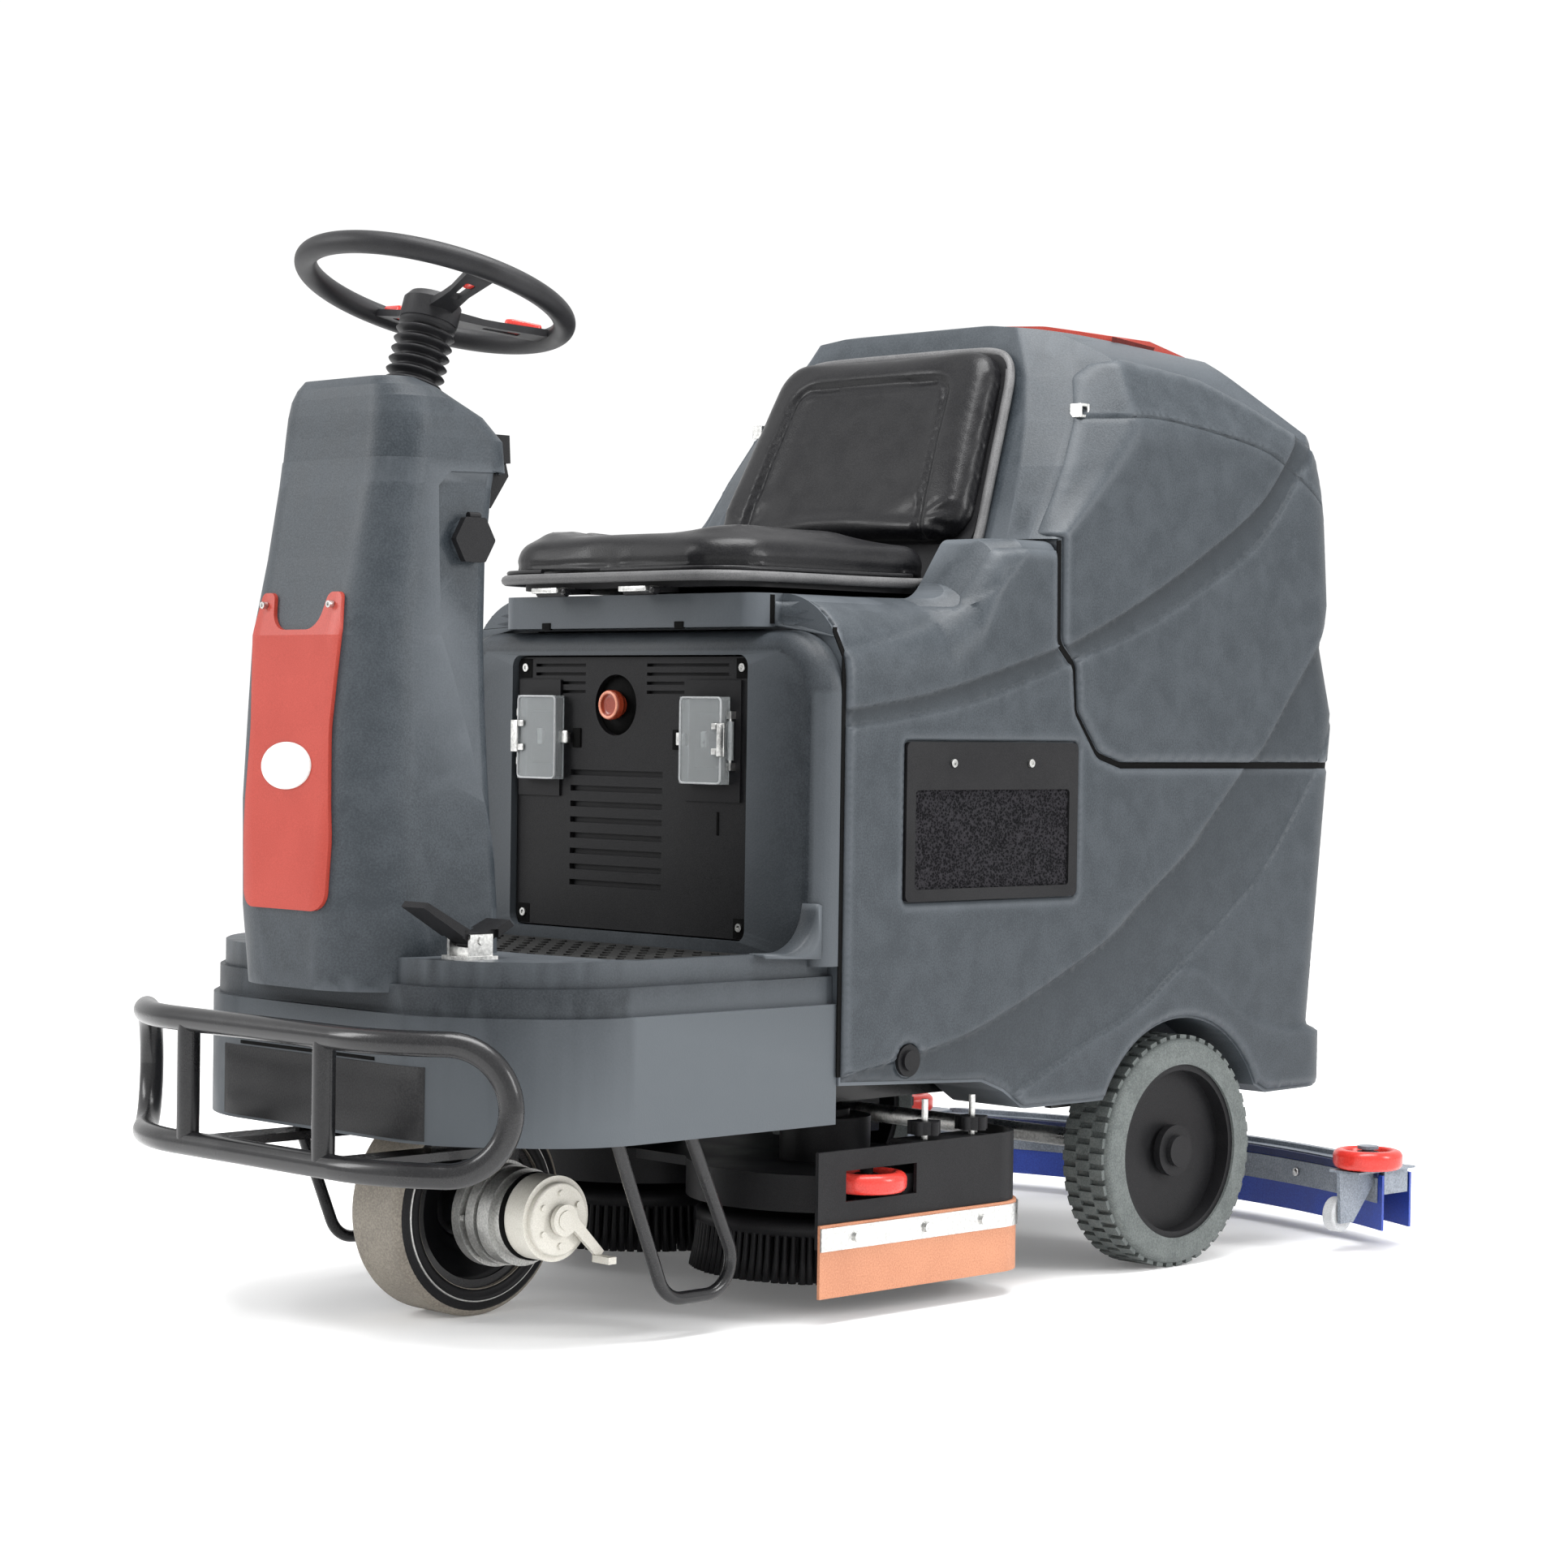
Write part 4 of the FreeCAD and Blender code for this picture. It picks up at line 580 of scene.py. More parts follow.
def pad(name, loop, rings, top, lay):
    """A closed pad from its outline: rings of (inset, height), then a crowned top. lay() places a point."""
    verts, faces = [], []
    middle = sum((Vector(p) for p in loop), Vector((0, 0))) / len(loop)
    n = len(loop)

    def ring_at(inset, scale, height):
        for p in loop:
            off = Vector(p) - middle
            q = middle + off * (1 - inset / off.length) * scale
            verts.append(lay(q.x, q.y, height(q.x, q.y) if callable(height) else height))

    low = rings[0][1]
    for scale in (0.06, 0.5, 0.85):
        ring_at(rings[0][0] + 10, scale, low)
    for inset, height in rings:
        ring_at(inset, 1.0, height)
    last = rings[-1][0]
    for scale in (0.93, 0.82, 0.68, 0.5, 0.3, 0.1):
        ring_at(last, scale, top)
    rows = len(verts) // n
    for r in range(rows - 1):
        for i in range(n):
            j = (i + 1) % n
            faces.append((r * n + i, r * n + j, (r + 1) * n + j, (r + 1) * n + i))
    faces.append(list(range(n))[::-1])
    faces.append(list(range((rows - 1) * n, rows * n)))
    obj = piece(name, verts, faces, "seat", VINYL)
    tidy_normals(obj)
    return obj


def refresh(obj):
    """Bakes the modifiers into the mesh."""
    bpy.context.view_layer.update()
    flat = bpy.data.meshes.new_from_object(obj.evaluated_get(bpy.context.evaluated_depsgraph_get()))
    obj.modifiers.clear()
    old = obj.data
    obj.data = flat
    bpy.data.meshes.remove(old)
    for poly in obj.data.polygons:
        poly.use_smooth = True


def stuff(obj, cap, pressure=1.2, voxel=0.006):
    """Remeshes a pad and lets taut cloth under pressure fill it, no point moving more than the cap."""
    mod = obj.modifiers.new("even", "REMESH")
    mod.mode = "VOXEL"
    mod.voxel_size = voxel
    refresh(obj)
    before = [v.co.copy() for v in obj.data.vertices]
    cloth = obj.modifiers.new("cloth", "CLOTH")
    cloth.settings.quality = 5
    cloth.settings.mass = 0.3
    cloth.settings.tension_stiffness = 40
    cloth.settings.compression_stiffness = 40
    cloth.settings.bending_stiffness = 30
    cloth.settings.use_pressure = True
    cloth.settings.uniform_pressure_force = pressure
    cloth.settings.effector_weights.gravity = 0
    for f in range(1, 21):
        scene.frame_set(f)
    refresh(obj)
    scene.frame_set(1)
    for v, old in zip(obj.data.vertices, before):
        move = v.co - old
        if move.length > cap:
            v.co = old + move * (cap / move.length)
    settle = obj.modifiers.new("settle", "SMOOTH")
    settle.factor = 0.5
    settle.iterations = 8
    refresh(obj)


def press(obj, depth):
    """Moves every point along its normal by depth(x, y, z, normal) millimetres."""
    mesh = obj.data
    moves = []
    for v in mesh.vertices:
        x, y, z = v.co * 1000
        moves.append(v.normal * (depth(x, y - DATUM_Y, z, v.normal) / 1000))
    for v, move in zip(mesh.vertices, moves):
        v.co += move
    mesh.update()


def dip(distance, width, depth):
    """A smooth groove."""
    return -depth * math.exp(-(distance / width) ** 2)


CUSHION = rounded([(212, -284, 72), (220, 78, 42), (-220, 78, 42), (-212, -284, 72)], 9)


def seat_top(x, y):
    """The seat's height: bolsters at the sides, a hollow in the middle of its rear."""
    side = ease((abs(x) - 70) / 110)
    bolster = 15 * side * ease((40 - y) / 120)
    front = 4 * ease((-y - 120) / 120)
    hollow = 10 * ease((y + 20) / 100) * (1 - side)
    return 912 + bolster + front - hollow


cushion = pad("seat_cushion_cover", CUSHION,
              [(12, 871), (5, 874), (3, 882), (4, 896), (8, 906), (16, 914), (28, 918)], seat_top,
              lambda a, b, h: (a, b, h))
stuff(cushion, SWELL)


def cushion_seams(x, y, z, normal):
    """The welt round the side, the panel's seam, and pleats at the rear corners."""
    q = Vector((x, y))
    rim = min((q - Vector(p)).length for p in CUSHION)
    out = 0.0
    if rim < 40:
        out += dip(z - 886, 2.2, 2.6)
    if normal.z > 0.2:
        edge = abs(beside_loop(q, PANEL_LINE))
        out += dip(edge, 5.0, 4.5) + 1.5 * math.exp(-((edge - 9) / 6) ** 2)
        if y > 30 and abs(x) > 130:
            out += 1.3 * math.sin((abs(x) - 130) * 0.75) * ease((y - 30) / 30) * ease((abs(x) - 130) / 20)
    return out


PANEL_LINE = rounded([(150, -222, 60), (156, 60, 40), (-156, 60, 40), (-150, -222, 60)], 9)


def beside_loop(p, loop):
    """Distance from a closed outline."""
    best = 1e9
    for i in range(len(loop)):
        a, b = loop[i - 1], loop[i]
        ab = b - a
        t = max(0.0, min(1.0, (p - a).dot(ab) / max(ab.length_squared, 1e-9)))
        best = min(best, (p - (a + ab * t)).length)
    return best


press(cushion, cushion_seams)
subdivide(cushion)
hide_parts("seat_cushion")

BACK = rounded([(-225, 2, 44), (225, 2, 44), (188, 276, 48), (-188, 276, 48)], 9)
BACK_PANEL = rounded([(-162, -40, 20), (162, -40, 20), (134, 224, 26), (-134, 224, 26)], 9)


def back_spot(a, b, h):
    """A station from the backrest's own axes: across, up it, and out of its front."""
    return BACK_AT + Vector((a, 0, 0)) + BACK_UP * b + BACK_OUT * h


def back_front(a, b):
    """The backrest's front, with its middle panel sunk."""
    return -7 if within(Vector((a, b)), BACK_PANEL) else 0


backrest = pad("seat_backrest_cover", BACK,
               [(16, -44), (6, -42), (2, -34), (2, -24), (5, -12), (12, -4), (24, 0)], back_front, back_spot)
stuff(backrest, SWELL)


def back_seams(x, y, z, normal):
    """The panel's seam, gathers at its lower corners, and the welt round the side."""
    q = Vector((x, y, z)) - BACK_AT
    a, b, h = q.x, q.dot(BACK_UP), q.dot(BACK_OUT)
    out = 0.0
    if normal.dot(BACK_OUT) > 0.2:
        edge = beside_loop(Vector((a, b)), BACK_PANEL)
        out += dip(edge, 5.0, 7.0)
        corner = Vector((abs(a) - 150, b - 22))
        if corner.length < 80 and corner.x > -10 and corner.y < 30:
            turn = math.atan2(corner.y, corner.x)
            out += 1.8 * math.sin(turn * 15) * ease(1 - abs(corner.length - 42) / 38)
        if within(Vector((a, b)), BACK_PANEL):
            out += 0.8 * noise.noise(Vector((a, b, 0)) * 0.02)
    elif abs(h + 26) < 14:
        out += dip(h + 26, 2.2, 2.4)
    return out


press(backrest, back_seams)
subdivide(backrest)
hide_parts("seat_backrest")


def cordage(name, points, radius, body, mat, closed=True, flat=1.0):
    """A round bead along a smooth line of stations; flat is not used."""
    curve = bpy.data.curves.new(name, "CURVE")
    curve.dimensions = "3D"
    curve.bevel_depth = radius / 1000
    curve.bevel_resolution = 3
    curve.use_fill_caps = True
    line = curve.splines.new("NURBS")
    line.points.add(len(points) - 1)
    for p, q in zip(line.points, points):
        p.co = (*spot(*q), 1)
    line.order_u = 3
    line.use_cyclic_u = closed
    line.use_endpoint_u = not closed
    line.resolution_u = 6
    curve.materials.append(mat)
    obj = bpy.data.objects.new(name, curve)
    scene.collection.objects.link(obj)
    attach(obj, body)
    return obj


front_run = [(0, -291, 868), (110, -291, 868), (160, -289, 868), (205, -272, 868), (217, -225, 868),
             (220, -120, 868), (225, -20, 868), (228, 50, 869), (229, 92, 876), (230, 120, 898)]
back_run = [back_spot(230, 14, -42), back_spot(224, 60, -41), back_spot(215, 130, -40), back_spot(206, 200,
                                                                                                  -39),
            back_spot(200, 240, -39), back_spot(188, 268, -39), back_spot(164, 283, -39), back_spot(110, 285,
                                                                                                    -39),
            back_spot(0, 285, -39)]
half_way = front_run + back_run
whole = half_way + [(-x, y, z) for x, y, z in reversed(half_way[1:-1])]
cordage("seat_rim_bead", whole, 6.5, "seat", TRIM)
inner = [(x * 0.992, y + (3 if y < -200 else 0), z + 9) for x, y, z in front_run[:8]]
inner += [(-x, y, z) for x, y, z in reversed(inner[1:])]
cordage("seat_welt", inner, 3.0, "seat", VINYL, closed=False)

# Steering wheel and its boot --------------------------------------------------------------------
TILT = math.radians(16.5)
WHEEL_AT = Vector((0, -551, 1185))
AXIS = Vector((0, math.sin(TILT), math.cos(TILT)))
FLAT = Vector((0, math.cos(TILT), -math.sin(TILT)))


def on_wheel(u, v, w):
    """A station from the steering wheel's own axes."""
    return WHEEL_AT + Vector((u, 0, 0)) + FLAT * v + AXIS * w


BOOT_RIB, BOOT_HEIGHT, RIB_STEPS = 12.5, 75, 48
ribs = []
for k in range(RIB_STEPS + 1):
    h = k * BOOT_HEIGHT / RIB_STEPS
    ribs.append((29.5 + 5.0 * math.cos(2 * math.pi * h / BOOT_RIB + math.pi), h))
boot = [(18, -17), (36, -16), (36, -3), (32, 0)] + ribs + [(33, 76), (33, 84), (29, 86), (18, 86)]
boot_obj = revolve("steering_boot", boot, WHEEL_AT - AXIS * 118, AXIS, "chassis", GRIP, 64,
                   closed=True)
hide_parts("bellows")
hub_cap = [(0.5, -12), (26, -12), (27, -6), (24, 1), (14, 4), (0.5, 5)]
revolve("wheel_hub_cap", hub_cap, WHEEL_AT - AXIS * 4, AXIS, "steering", BLACK, 48)
for k, turn in enumerate((-17, 73, 163)):
    a = math.radians(turn)
    c, s = math.cos(a), math.sin(a)
    loop = [(96, -8), (132, -12), (138, 0), (132, 12), (96, 8), (90, 0)]
    verts = []
    for w in (-11, 3):
        verts += [on_wheel(u * c - v * s, u * s + v * c, w + (u - 96) * 0.12) for u, v in loop]
    insert = piece("wheel_insert_%d" % k, verts, prism_faces(6), "steering", ROLLER)
    tidy_normals(insert)
    bevel(insert, 3)

# Nose oval, breakers, vents, clips -----------------------------------------------------------------
OVAL_Z, OVAL_WIDTH, OVAL_HEIGHT, NOSE_SLOPE = 640, 45, 26.5, 0.05
verts, faces = [], []
profile = [(1.0, 0), (1.0, 2.4), (0.97, 3.4), (0.93, 3.2), (0.91, 2.4), (0.88, 2.6), (0.6, 3.4), (0.2, 3.8)]
turns = 64
for scale, h in profile:
    for k in range(turns):
        a = 2 * math.pi * k / turns
        rise = OVAL_HEIGHT * scale * math.sin(a)
        verts.append((OVAL_WIDTH * scale * math.cos(a), -754.6 + rise * NOSE_SLOPE - h, OVAL_Z + rise))
for r in range(len(profile) - 1):
    for k in range(turns):
        m = (k + 1) % turns
        faces.append((r * turns + k, r * turns + m, (r + 1) * turns + m, (r + 1) * turns + k))
faces.append(list(range((len(profile) - 1) * turns, len(profile) * turns)))
oval = piece("nose_oval", verts, faces, "chassis", PLATE)
tidy_normals(oval)


def brick(name, low, high, body, mat, edge=1.5):
    """A box with softened edges, between two corners."""
    (x0, y0, z0), (x1, y1, z1) = low, high
    verts = [(x, y, z) for z in (z0, z1) for y in (y0, y1) for x in (x0, x1)]
    faces = [(0, 2, 3, 1), (4, 5, 7, 6), (0, 1, 5, 4), (2, 6, 7, 3), (0, 4, 6, 2), (1, 3, 7, 5)]
    obj = piece(name, verts, faces, body, mat, smooth=True)
    bevel(obj, edge, 3)
    return obj


def breaker(x, end, word):
    """A breaker with its lever, and the latch, hinge and rim of its clear cover."""
    cover = "breaker_window_" + word
    brick("breaker_" + word, (x - 20, -244, 640), (x + 20, -239, 706), "chassis", BLACK, 2)
    brick("breaker_lever_" + word, (x - 5, -248.5, 664), (x + 5, -243, 684), "chassis", ZINC)
    near = x - end * 36
    lo, hi = sorted((near - end * 14, near + end * 3))
    brick("cover_latch_" + word, (lo, -248, 666), (hi, -241, 682), cover, ZINC)
    lo, hi = sorted((near - end * 15, near - end * 29))
    # painted shade in the slot beside the latch
    brick("latch_slot_" + word, (lo, -239.2, 661), (hi, -236.4, 685), "chassis", RECESS_SHADE, 0.6)
    far = x + end * 36
    lo, hi = sorted((far - end * 4, far + end * 9))
    brick("cover_hinge_" + word, (lo, -259, 654), (hi, -256, 694), cover, ZINC, 1.2)
    for z in (656, 686):
        lo, hi = sorted((far - end * 14, far - end * 2))
        brick("hinge_foot_%s_%d" % (word, z), (lo, -258, z), (hi, -255.6, z + 8), cover, ZINC,
              1)
    lo, hi = sorted((x - 36, x + 36))
    rim = rounded([(lo + 1, 622, 5), (hi - 1, 622, 5), (hi - 1, 724, 5), (lo + 1, 724, 5)], 12)
    cordage("cover_edge_" + word, [(p.x, -254.6, p.y) for p in rim], 1.3, cover, PALE)


breaker(142, 1, "left")
breaker(-156, -1, "right")
# painted shade in a slot of the panel
brick("panel_slot", (154.5, -238, 560), (158, -236.6, 588), "chassis", RECESS_SHADE, 0.5)
# painted shade in the wells at the panel's corners
for x in (-196, 196):
    for z in (452, 760):
        brick("corner_well_%d_%d" % (x, z), (x - 11, -237.7, z - 13), (x + 11, -236.5, z + 11), "chassis",
              RECESS_SHADE, 0.6)
for x in (-100, 60):
    brick("seat_hinge_%d" % x, (x - 24, -294, 850), (x + 24, -262, 857), "seat", ZINC, 1.5)
    brick("hinge_bolt_%d" % x, (x + 26, -290, 848), (x + 34, -278, 856), "seat", COAT, 2)
# painted shade in the notches of the ledge
for x in (-150, 92):
    brick("ledge_notch_%d" % x, (x, -253.4, 806), (x + 16, -249, 815), "chassis", RECESS_SHADE, 1)


def on_panel(name, profile, y, body, mat, closed):
    """A turned piece of the stop button, facing forwards."""
    revolve(name, profile, (-28, y, 714), (0, -1, 0), body, mat, closed=closed)


# a ring of painted shade in the well round the stop button
on_panel("stop_well", [(13.4, 0), (36.8, 0), (36.8, 0.8), (19, 1.6), (13.4, 1.6)], -229.2, "chassis",
         RECESS_SHADE, True)
on_panel("stop_button_face", [(0.3, -8), (17, -8), (18, 0), (18.4, 3), (17.4, 4.6), (13.6, 4.8), (12.4, 2.6),
                              (9, 2.2), (0.3, 2.8)], -244.5, "stop", ORANGE, False)
# the rim's pale colour is a painted highlight
on_panel("stop_button_rim", [(13.6, 4.6), (17.4, 4.4), (17.2, 5.6), (15.5, 6.2), (13.8, 5.6)], -244.5, "stop",
         RIM_HIGHLIGHT, True)


def vent_foam(side, word):
    """Coarse foam in the side vent."""
    cols, rows = 70, 30
    verts, faces = [], []
    for j in range(rows + 1):
        for i in range(cols + 1):
            y, z = -95 + 280 * i / cols, 499 + 120 * j / rows
            coarse = 1.6 * noise.noise(Vector((y * 0.11, z * 0.11, side)))
            fine = 1.0 * noise.noise(Vector((y * 0.4, z * 0.4, 3)))
            verts.append((side * (SIDE_X + 4.2 + coarse + fine), y, z))
    for j in range(rows):
        for i in range(cols):
            q = j * (cols + 1) + i
            quad = (q, q + 1, q + cols + 2, q + cols + 1)
            faces.append(quad if side > 0 else quad[::-1])
    piece("vent_foam_" + word, verts, faces, "chassis", FOAM)


def tank_clip(side, word):
    """A small square ring on the tank's shoulder."""
    at_y, at_z, outer, inner = 260, 1094, 9, 5
    face = surface("recovery_tank").ray_cast(spot(side * 600, at_y, at_z), Vector((-side, 0, 0)))[0].x * 1000
    corners = [(at_y + r * u, at_z + r * v) for r in (outer, inner) for u, v in ((-1, -1), (1, -1), (1, 1),
                                                                                 (-1, 1))]
    verts = [(x, y, z) for x in (face - side * 6.0, face + side * 12.0) for y, z in corners]
    faces = []
    for i in range(4):
        j = (i + 1) % 4
        faces += [(8 + i, 8 + j, 12 + j, 12 + i), (i, j, 8 + j, 8 + i), (4 + i, 12 + i, 12 + j, 4 + j),
                  (i, 4 + i, 4 + j, j)]
    square = piece("tank_clip_" + word, verts, faces, "tank", ZINC, smooth=False)
    tidy_normals(square)
    bevel(square, 1)


for side, word in SIDES:
    vent_foam(side, word)
    tank_clip(side, word)

# Front base, footwell sweep and lid notch ------------------------------------------------------------
def front_edge(x, out):
    """The plan of the base's nose: straight in the middle and rounded towards the sides."""
    straight, radius = 137, 170
    bent = max(0.0, abs(x) - straight)
    return -714 - out + radius - math.sqrt(radius ** 2 - bent ** 2)


def apron(name, x0, x1, z0, z1, thick, mat):
    """A thin panel that follows the base's nose, carrying painted shade."""
    count = 40
    verts, faces = [], []
    for k in range(count + 1):
        x = x0 + (x1 - x0) * k / count
        for out, z in ((-1.0, z0), (thick, z0 + 1), (thick, z1 - 1), (-1.0, z1)):
            verts.append((x, front_edge(x, out), z))
    for k in range(count):
        for i in range(3):
            faces.append((k * 4 + i, k * 4 + 4 + i, k * 4 + 5 + i, k * 4 + 1 + i))
    faces += [(0, 1, 2, 3), (count * 4 + 3, count * 4 + 2, count * 4 + 1, count * 4)]
    tidy_normals(piece(name, verts, faces, "chassis", mat))


# painted shade over the nose's lower front, under the bumper
apron("nose_shade_panel", -170, 190, 233, 315, 1.6, NOSE_SHADE)
# a strip of painted shade in the seam across the nose
apron("nose_seam", -136, 112, 316, 321, 1.2, RECESS_SHADE)


def footwell_sweep(side, word):
    """The base's side, which sweeps up behind the footwell."""
    radius = 56
    turns = [math.radians(a) for a in range(0, 91, 9)]
    rise = [(-246 - radius + radius * math.sin(a), 431 + radius - radius * math.cos(a)) for a in turns]
    outline = [(-330, 429), (-330, 432)] + rise + [(-240, 487), (-240, 425)]
    verts = []
    for x, drop in ((306, 2.0), (309, 0.0), (331, 0.0), (334.6, 2.0)):
        verts += [(side * x, y + drop * 0.6, z - drop) for y, z in outline]
    faces = prism_faces(len(outline), 4)
    # The sweep shares the base's painted shade.
    tidy_normals(piece("footwell_sweep_" + word, verts, faces, "chassis", SHADED_BASE))


def lid_notch(side, word):
    """A finger notch in the lid's edge, as a flat piece of dark red painted shade."""
    outline = ((392, 1196), (393, 1203), (478, 1196), (472, 1187), (462, 1189), (400, 1194))
    verts = [(x, y, z) for x in sorted((side * 227.0, side * 229.2)) for y, z in outline]
    tidy_normals(piece("lid_notch_" + word, verts, prism_faces(6), "lid", NOTCH_SHADE, smooth=False))


for side, word in SIDES:
    footwell_sweep(side, word)
    lid_notch(side, word)

# Brushes ---------------------------------------------------------------------------------------------
def tuft(spin, r, turn, lean, verts, faces):
    """One tuft of bristles: three rings of six points, splayed towards its tip."""
    first, ring = len(verts), 6
    c, s = math.cos(turn), math.sin(turn)
    for z, reach, width in ((88.0, r, 3.4), (60.0, r + lean * 0.35, 3.4 * 1.15), (31.5, r + lean, 3.4 * 1.5)):
        for k in range(ring):
            b = 2 * math.pi * k / ring
            u, v = reach + width * math.cos(b), width * math.sin(b)
            verts.append((spin.x + u * c - v * s, spin.y + u * s + v * c, z))
    for low in (first, first + ring):
        for k in range(ring):
            m = (k + 1) % ring
            faces.append((low + k, low + m, low + ring + m, low + ring + k))
    faces.append([first + 2 * ring + k for k in range(ring)])


def brush(side, word):
    """A disc brush: rings of tufts under a turned plate."""
    spin, body = Vector((side * 166.0, -57.0, 0)), word + "_brush"
    verts, faces = [], []
    for r, count, lean in ((153, 92, 7), (141, 80, 4), (124, 60, 2), (104, 50, 0), (84, 40, 0), (64, 30, 0)):
        for k in range(count):
            jitter = noise.noise(Vector((k * 0.7, r, side * 3.0)))
            tuft(spin, r, 2 * math.pi * k / count + jitter * 0.02, lean + jitter * 3, verts, faces)
    tidy_normals(piece("bristles_" + word, verts, faces, body, BLACK))
    profile = [(11.1, 84), (150, 84), (157, 88), (158, 100), (150, 107), (40, 110), (32, 126), (11.1, 126)]
    plate = revolve("brush_plate_" + word, profile, spin, (0, 0, 1), body, BLACK, 72, closed=True)
    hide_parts("brush_" + word)


for side, word in SIDES:
    brush(side, word)

# Rollers, drive wheel side and squeegee clamps ------------------------------------------------------
def wheel_ring(name, centre, outer, inner, half, body, node):
    """A rounded polyurethane ring, in place of the CAD one, on a dark dished centre."""
    r = 9.0
    bend = [math.pi / 2 * k / 6 for k in range(7)]
    profile = [(inner, -half + 3), (inner + 3, -half), (outer - r, -half)]
    profile += [(outer - r + r * math.sin(a), -half + r * (1 - math.cos(a))) for a in bend[1:]]
    profile += [(outer - r + r * math.cos(a), half - r + r * math.sin(a)) for a in bend]
    profile += [(inner + 3, half), (inner, half - 3)]
    tyre = revolve(name + "_tyre", profile, centre, (0, 0, 1), body, ROLLER, 72, closed=True)
    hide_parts(node)
    profile = [(8.2, -half + 2), (inner + 0.5, -half + 4), (inner + 0.5, half - 7), (18, half - 10),
               (14, half - 3), (8.2, half - 3)]
    revolve(name + "_disc", profile, centre, (0, 0, 1), body, BLACK, 48, closed=True)


def drive_side(side, word):
    """The stepped disc, a bright rim line that is a painted highlight, and inner steps on one side of the
    drive wheel.
    """
    centre, out = Vector((side * 45, -502, 125)), Vector((side, 0, 0))
    disc = [(93, -4), (93, 1.0), (97, 2.4), (101, 1.4), (103, 1.2), (105.5, 3.2), (108, 1.4), (114, 1.0),
            (118, -1.2), (118, -4)]
    revolve("drive_side_" + word, disc, centre, out, "drive_wheel", BLACK, 96, closed=True)
    # a bright metal bead where a highlight falls: a painted highlight
    line = [(104, 1.2), (106, 3.6), (108, 1.2)]
    revolve("drive_rim_highlight_" + word, line, centre, out, "drive_wheel", CAST, 96, closed=True)
    steps = [(34, 0), (40, 8), (52, 8), (54, 14), (66, 14), (68, 20), (80, 20), (82, 32), (82, 0)]
    centre = Vector((side * 5, -502, 125))
    revolve("rim_steps_" + word, steps, centre, out, "drive_wheel", BLACK, 72, closed=True)


for side, word in SIDES:
    wheel_ring("end_roller_" + word, Vector((side * 425, 712, 125.5)), 46, 31, 13, "squeegee_roller_" + word,
               "end_roller_" + word)
    wheel_ring("side_roller_" + word, Vector((side * 319, -142, 157)), 48, 32, 12, "deck_roller_" + word,
               "side_roller_" + word)
    hub = [(6, 0), (15, 0), (15, 1.4), (12, 2.2), (9, 1.4), (6, 1.6)]
    revolve("caster_hub_" + word, hub, (side * 383.2, 690, 50), (-side, 0, 0), "squeegee_caster_" + word,
            BLACK, 40, closed=True)
    drive_side(side, word)
# a ring of painted shade in the gap before the brake disc
revolve("brake_gap_ring", [(44, 0), (50.5, 0), (51, 3), (50.5, 8), (44, 8)], (136, -502, 128), (1, 0, 0),
        "drive_unit", RECESS_SHADE, 64, closed=True)


def bow(name, radius, thick, low, high, half, mat):
    """A strip that follows the squeegee's curve."""
    verts, faces = [], []
    steps, centre_y = 96, -110
    reach = math.asin(half / radius)
    for k in range(steps + 1):
        a = -reach + 2 * reach * k / steps
        for r, z in ((radius, low), (radius, high), (radius + thick, high), (radius + thick, low)):
            verts.append((r * math.sin(a), centre_y + r * math.cos(a), z))
    for k in range(steps):
        for i in range(4):
            j = (i + 1) % 4
            faces.append((k * 4 + i, k * 4 + 4 + i, k * 4 + 4 + j, k * 4 + j))
    faces += [(0, 1, 2, 3), (steps * 4 + 3, steps * 4 + 2, steps * 4 + 1, steps * 4)]
    obj = piece(name, verts, faces, "squeegee", mat, smooth=False)
    tidy_normals(obj)
    bevel(obj, 0.8, 2)


bow("front_clamp", 951, 3.2, 62, 96, 415, CASTING)
bow("front_strip", 951, 3.4, 97.5, 107, 418, NAVY)
bow("rear_clamp", 1013.5, 3.0, 66, 96, 415, CASTING)
bolt = [(0.3, 0), (6, 0), (6, 3), (4.5, 4.2), (0.3, 4.2)]
for k in range(-3, 4):
    a = k * 0.125
    out = Vector((math.sin(a), math.cos(a), 0))
    for r, sign in ((950.5, -1), (1017, 1)):
        revolve("clamp_bolt_%d_%d" % (k + 3, sign + 1), bolt, Vector((0, -110, 80)) + out * r, out * sign,
                "squeegee", ZINC, 24)

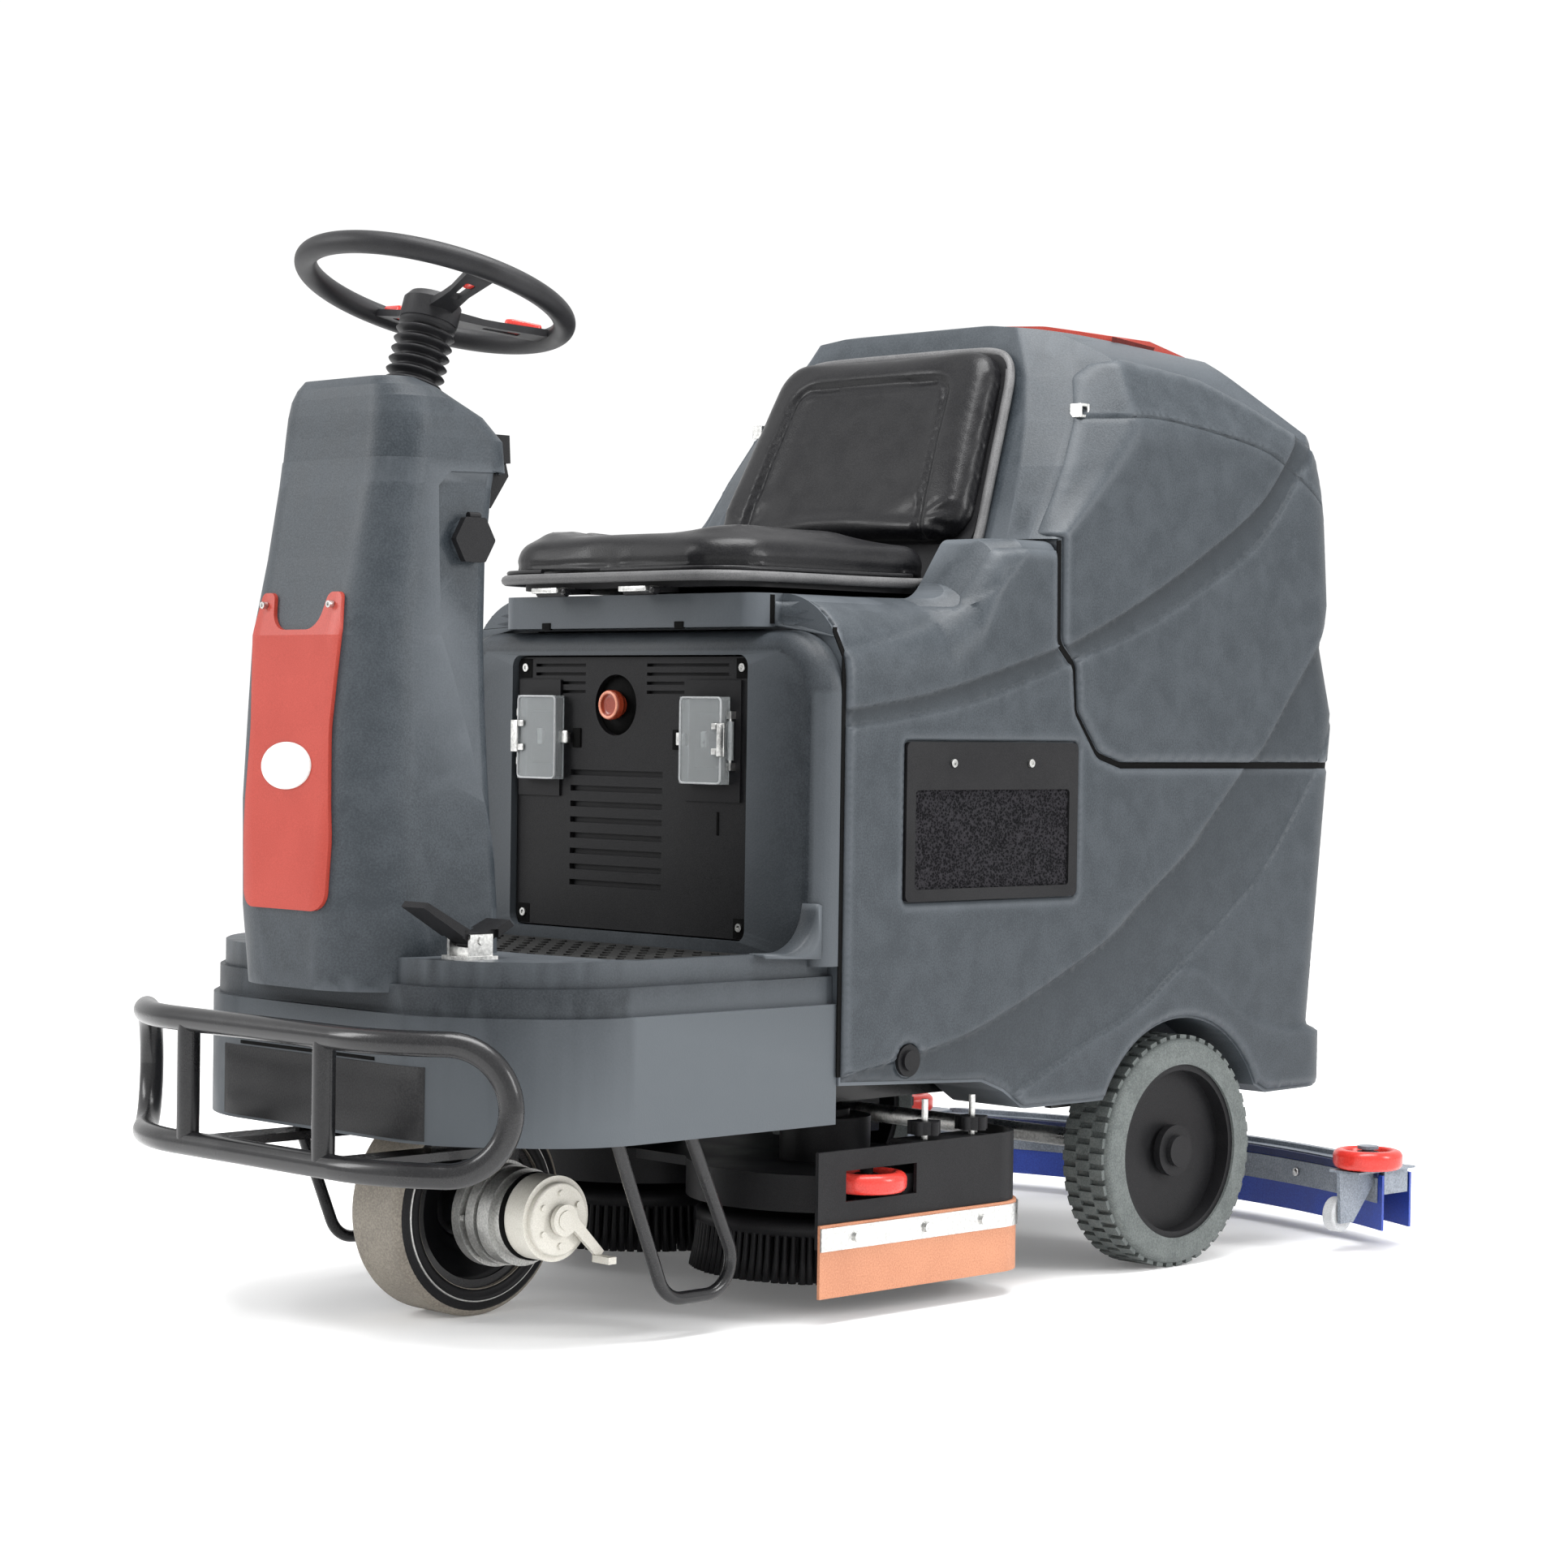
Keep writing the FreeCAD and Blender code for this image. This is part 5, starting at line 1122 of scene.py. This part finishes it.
# Stage, light and camera --------------------------------------------------------------------------
floor_mesh = bpy.data.meshes.new("floor")
floor_mesh.from_pydata([(-30, -30, 0), (30, -30, 0), (30, 30, 0), (-30, 30, 0)], [], [(0, 1, 2, 3)])
floor = bpy.data.objects.new("floor", floor_mesh)
scene.collection.objects.link(floor)
pale = bpy.data.materials.new("pale_floor")
pale.use_nodes = True
pale_inputs = pale.node_tree.nodes["Principled BSDF"].inputs
pale_inputs["Base Color"].default_value = (0.97, 0.97, 0.97, 1)
pale_inputs["Roughness"].default_value = 0.9
pale_inputs["Specular IOR Level"].default_value = 0.1
pale_inputs["Emission Color"].default_value = (1, 1, 1, 1)
pale_inputs["Emission Strength"].default_value = 0.1
floor_mesh.materials.append(pale)

world = bpy.data.worlds.new("studio")
scene.world = world
world.use_nodes = True
world.node_tree.nodes["Background"].inputs["Color"].default_value = (1, 1, 1, 1)
world.node_tree.nodes["Background"].inputs["Strength"].default_value = 1.05


def softbox(name, where, aim, size, power):
    """A large soft lamp that points at a place, in metres."""
    data = bpy.data.lights.new(name, "AREA")
    data.shape = "RECTANGLE"
    data.size, data.size_y = size
    data.energy = power
    obj = bpy.data.objects.new(name, data)
    obj.location = where
    obj.rotation_euler = (Vector(aim) - Vector(where)).to_track_quat("-Z", "Y").to_euler()
    scene.collection.objects.link(obj)


softbox("overhead", (0.6, -0.2, 3.4), (0, 0, 0.5), (2.6, 1.6), 150)
softbox("front_left", (-2.4, -3.4, 2.6), (0, -0.2, 0.7), (1.2, 2.2), 90)
softbox("right_side", (4.6, 1.8, 2.4), (0, 0.2, 0.6), (1.4, 2.0), 120)

camera_data = bpy.data.cameras.new("camera")
camera_data.lens = 79.37
camera_data.sensor_width = 36
camera = bpy.data.objects.new("camera", camera_data)
heading = Matrix.Rotation(math.radians(-44.805), 4, "Z")
lift = Matrix.Rotation(math.radians(-1.108), 4, "Y")
level = Matrix(((0, 0, 1), (1, 0, 0), (0, 1, 0))).to_4x4()
roll = Matrix.Rotation(math.radians(0.828), 4, "Z")
camera.matrix_world = Matrix.Translation((3.13135, -3.13075, 0.70211)) @ heading @ lift @ level @ roll
scene.collection.objects.link(camera)
scene.camera = camera
scene.view_settings.view_transform = "Standard"
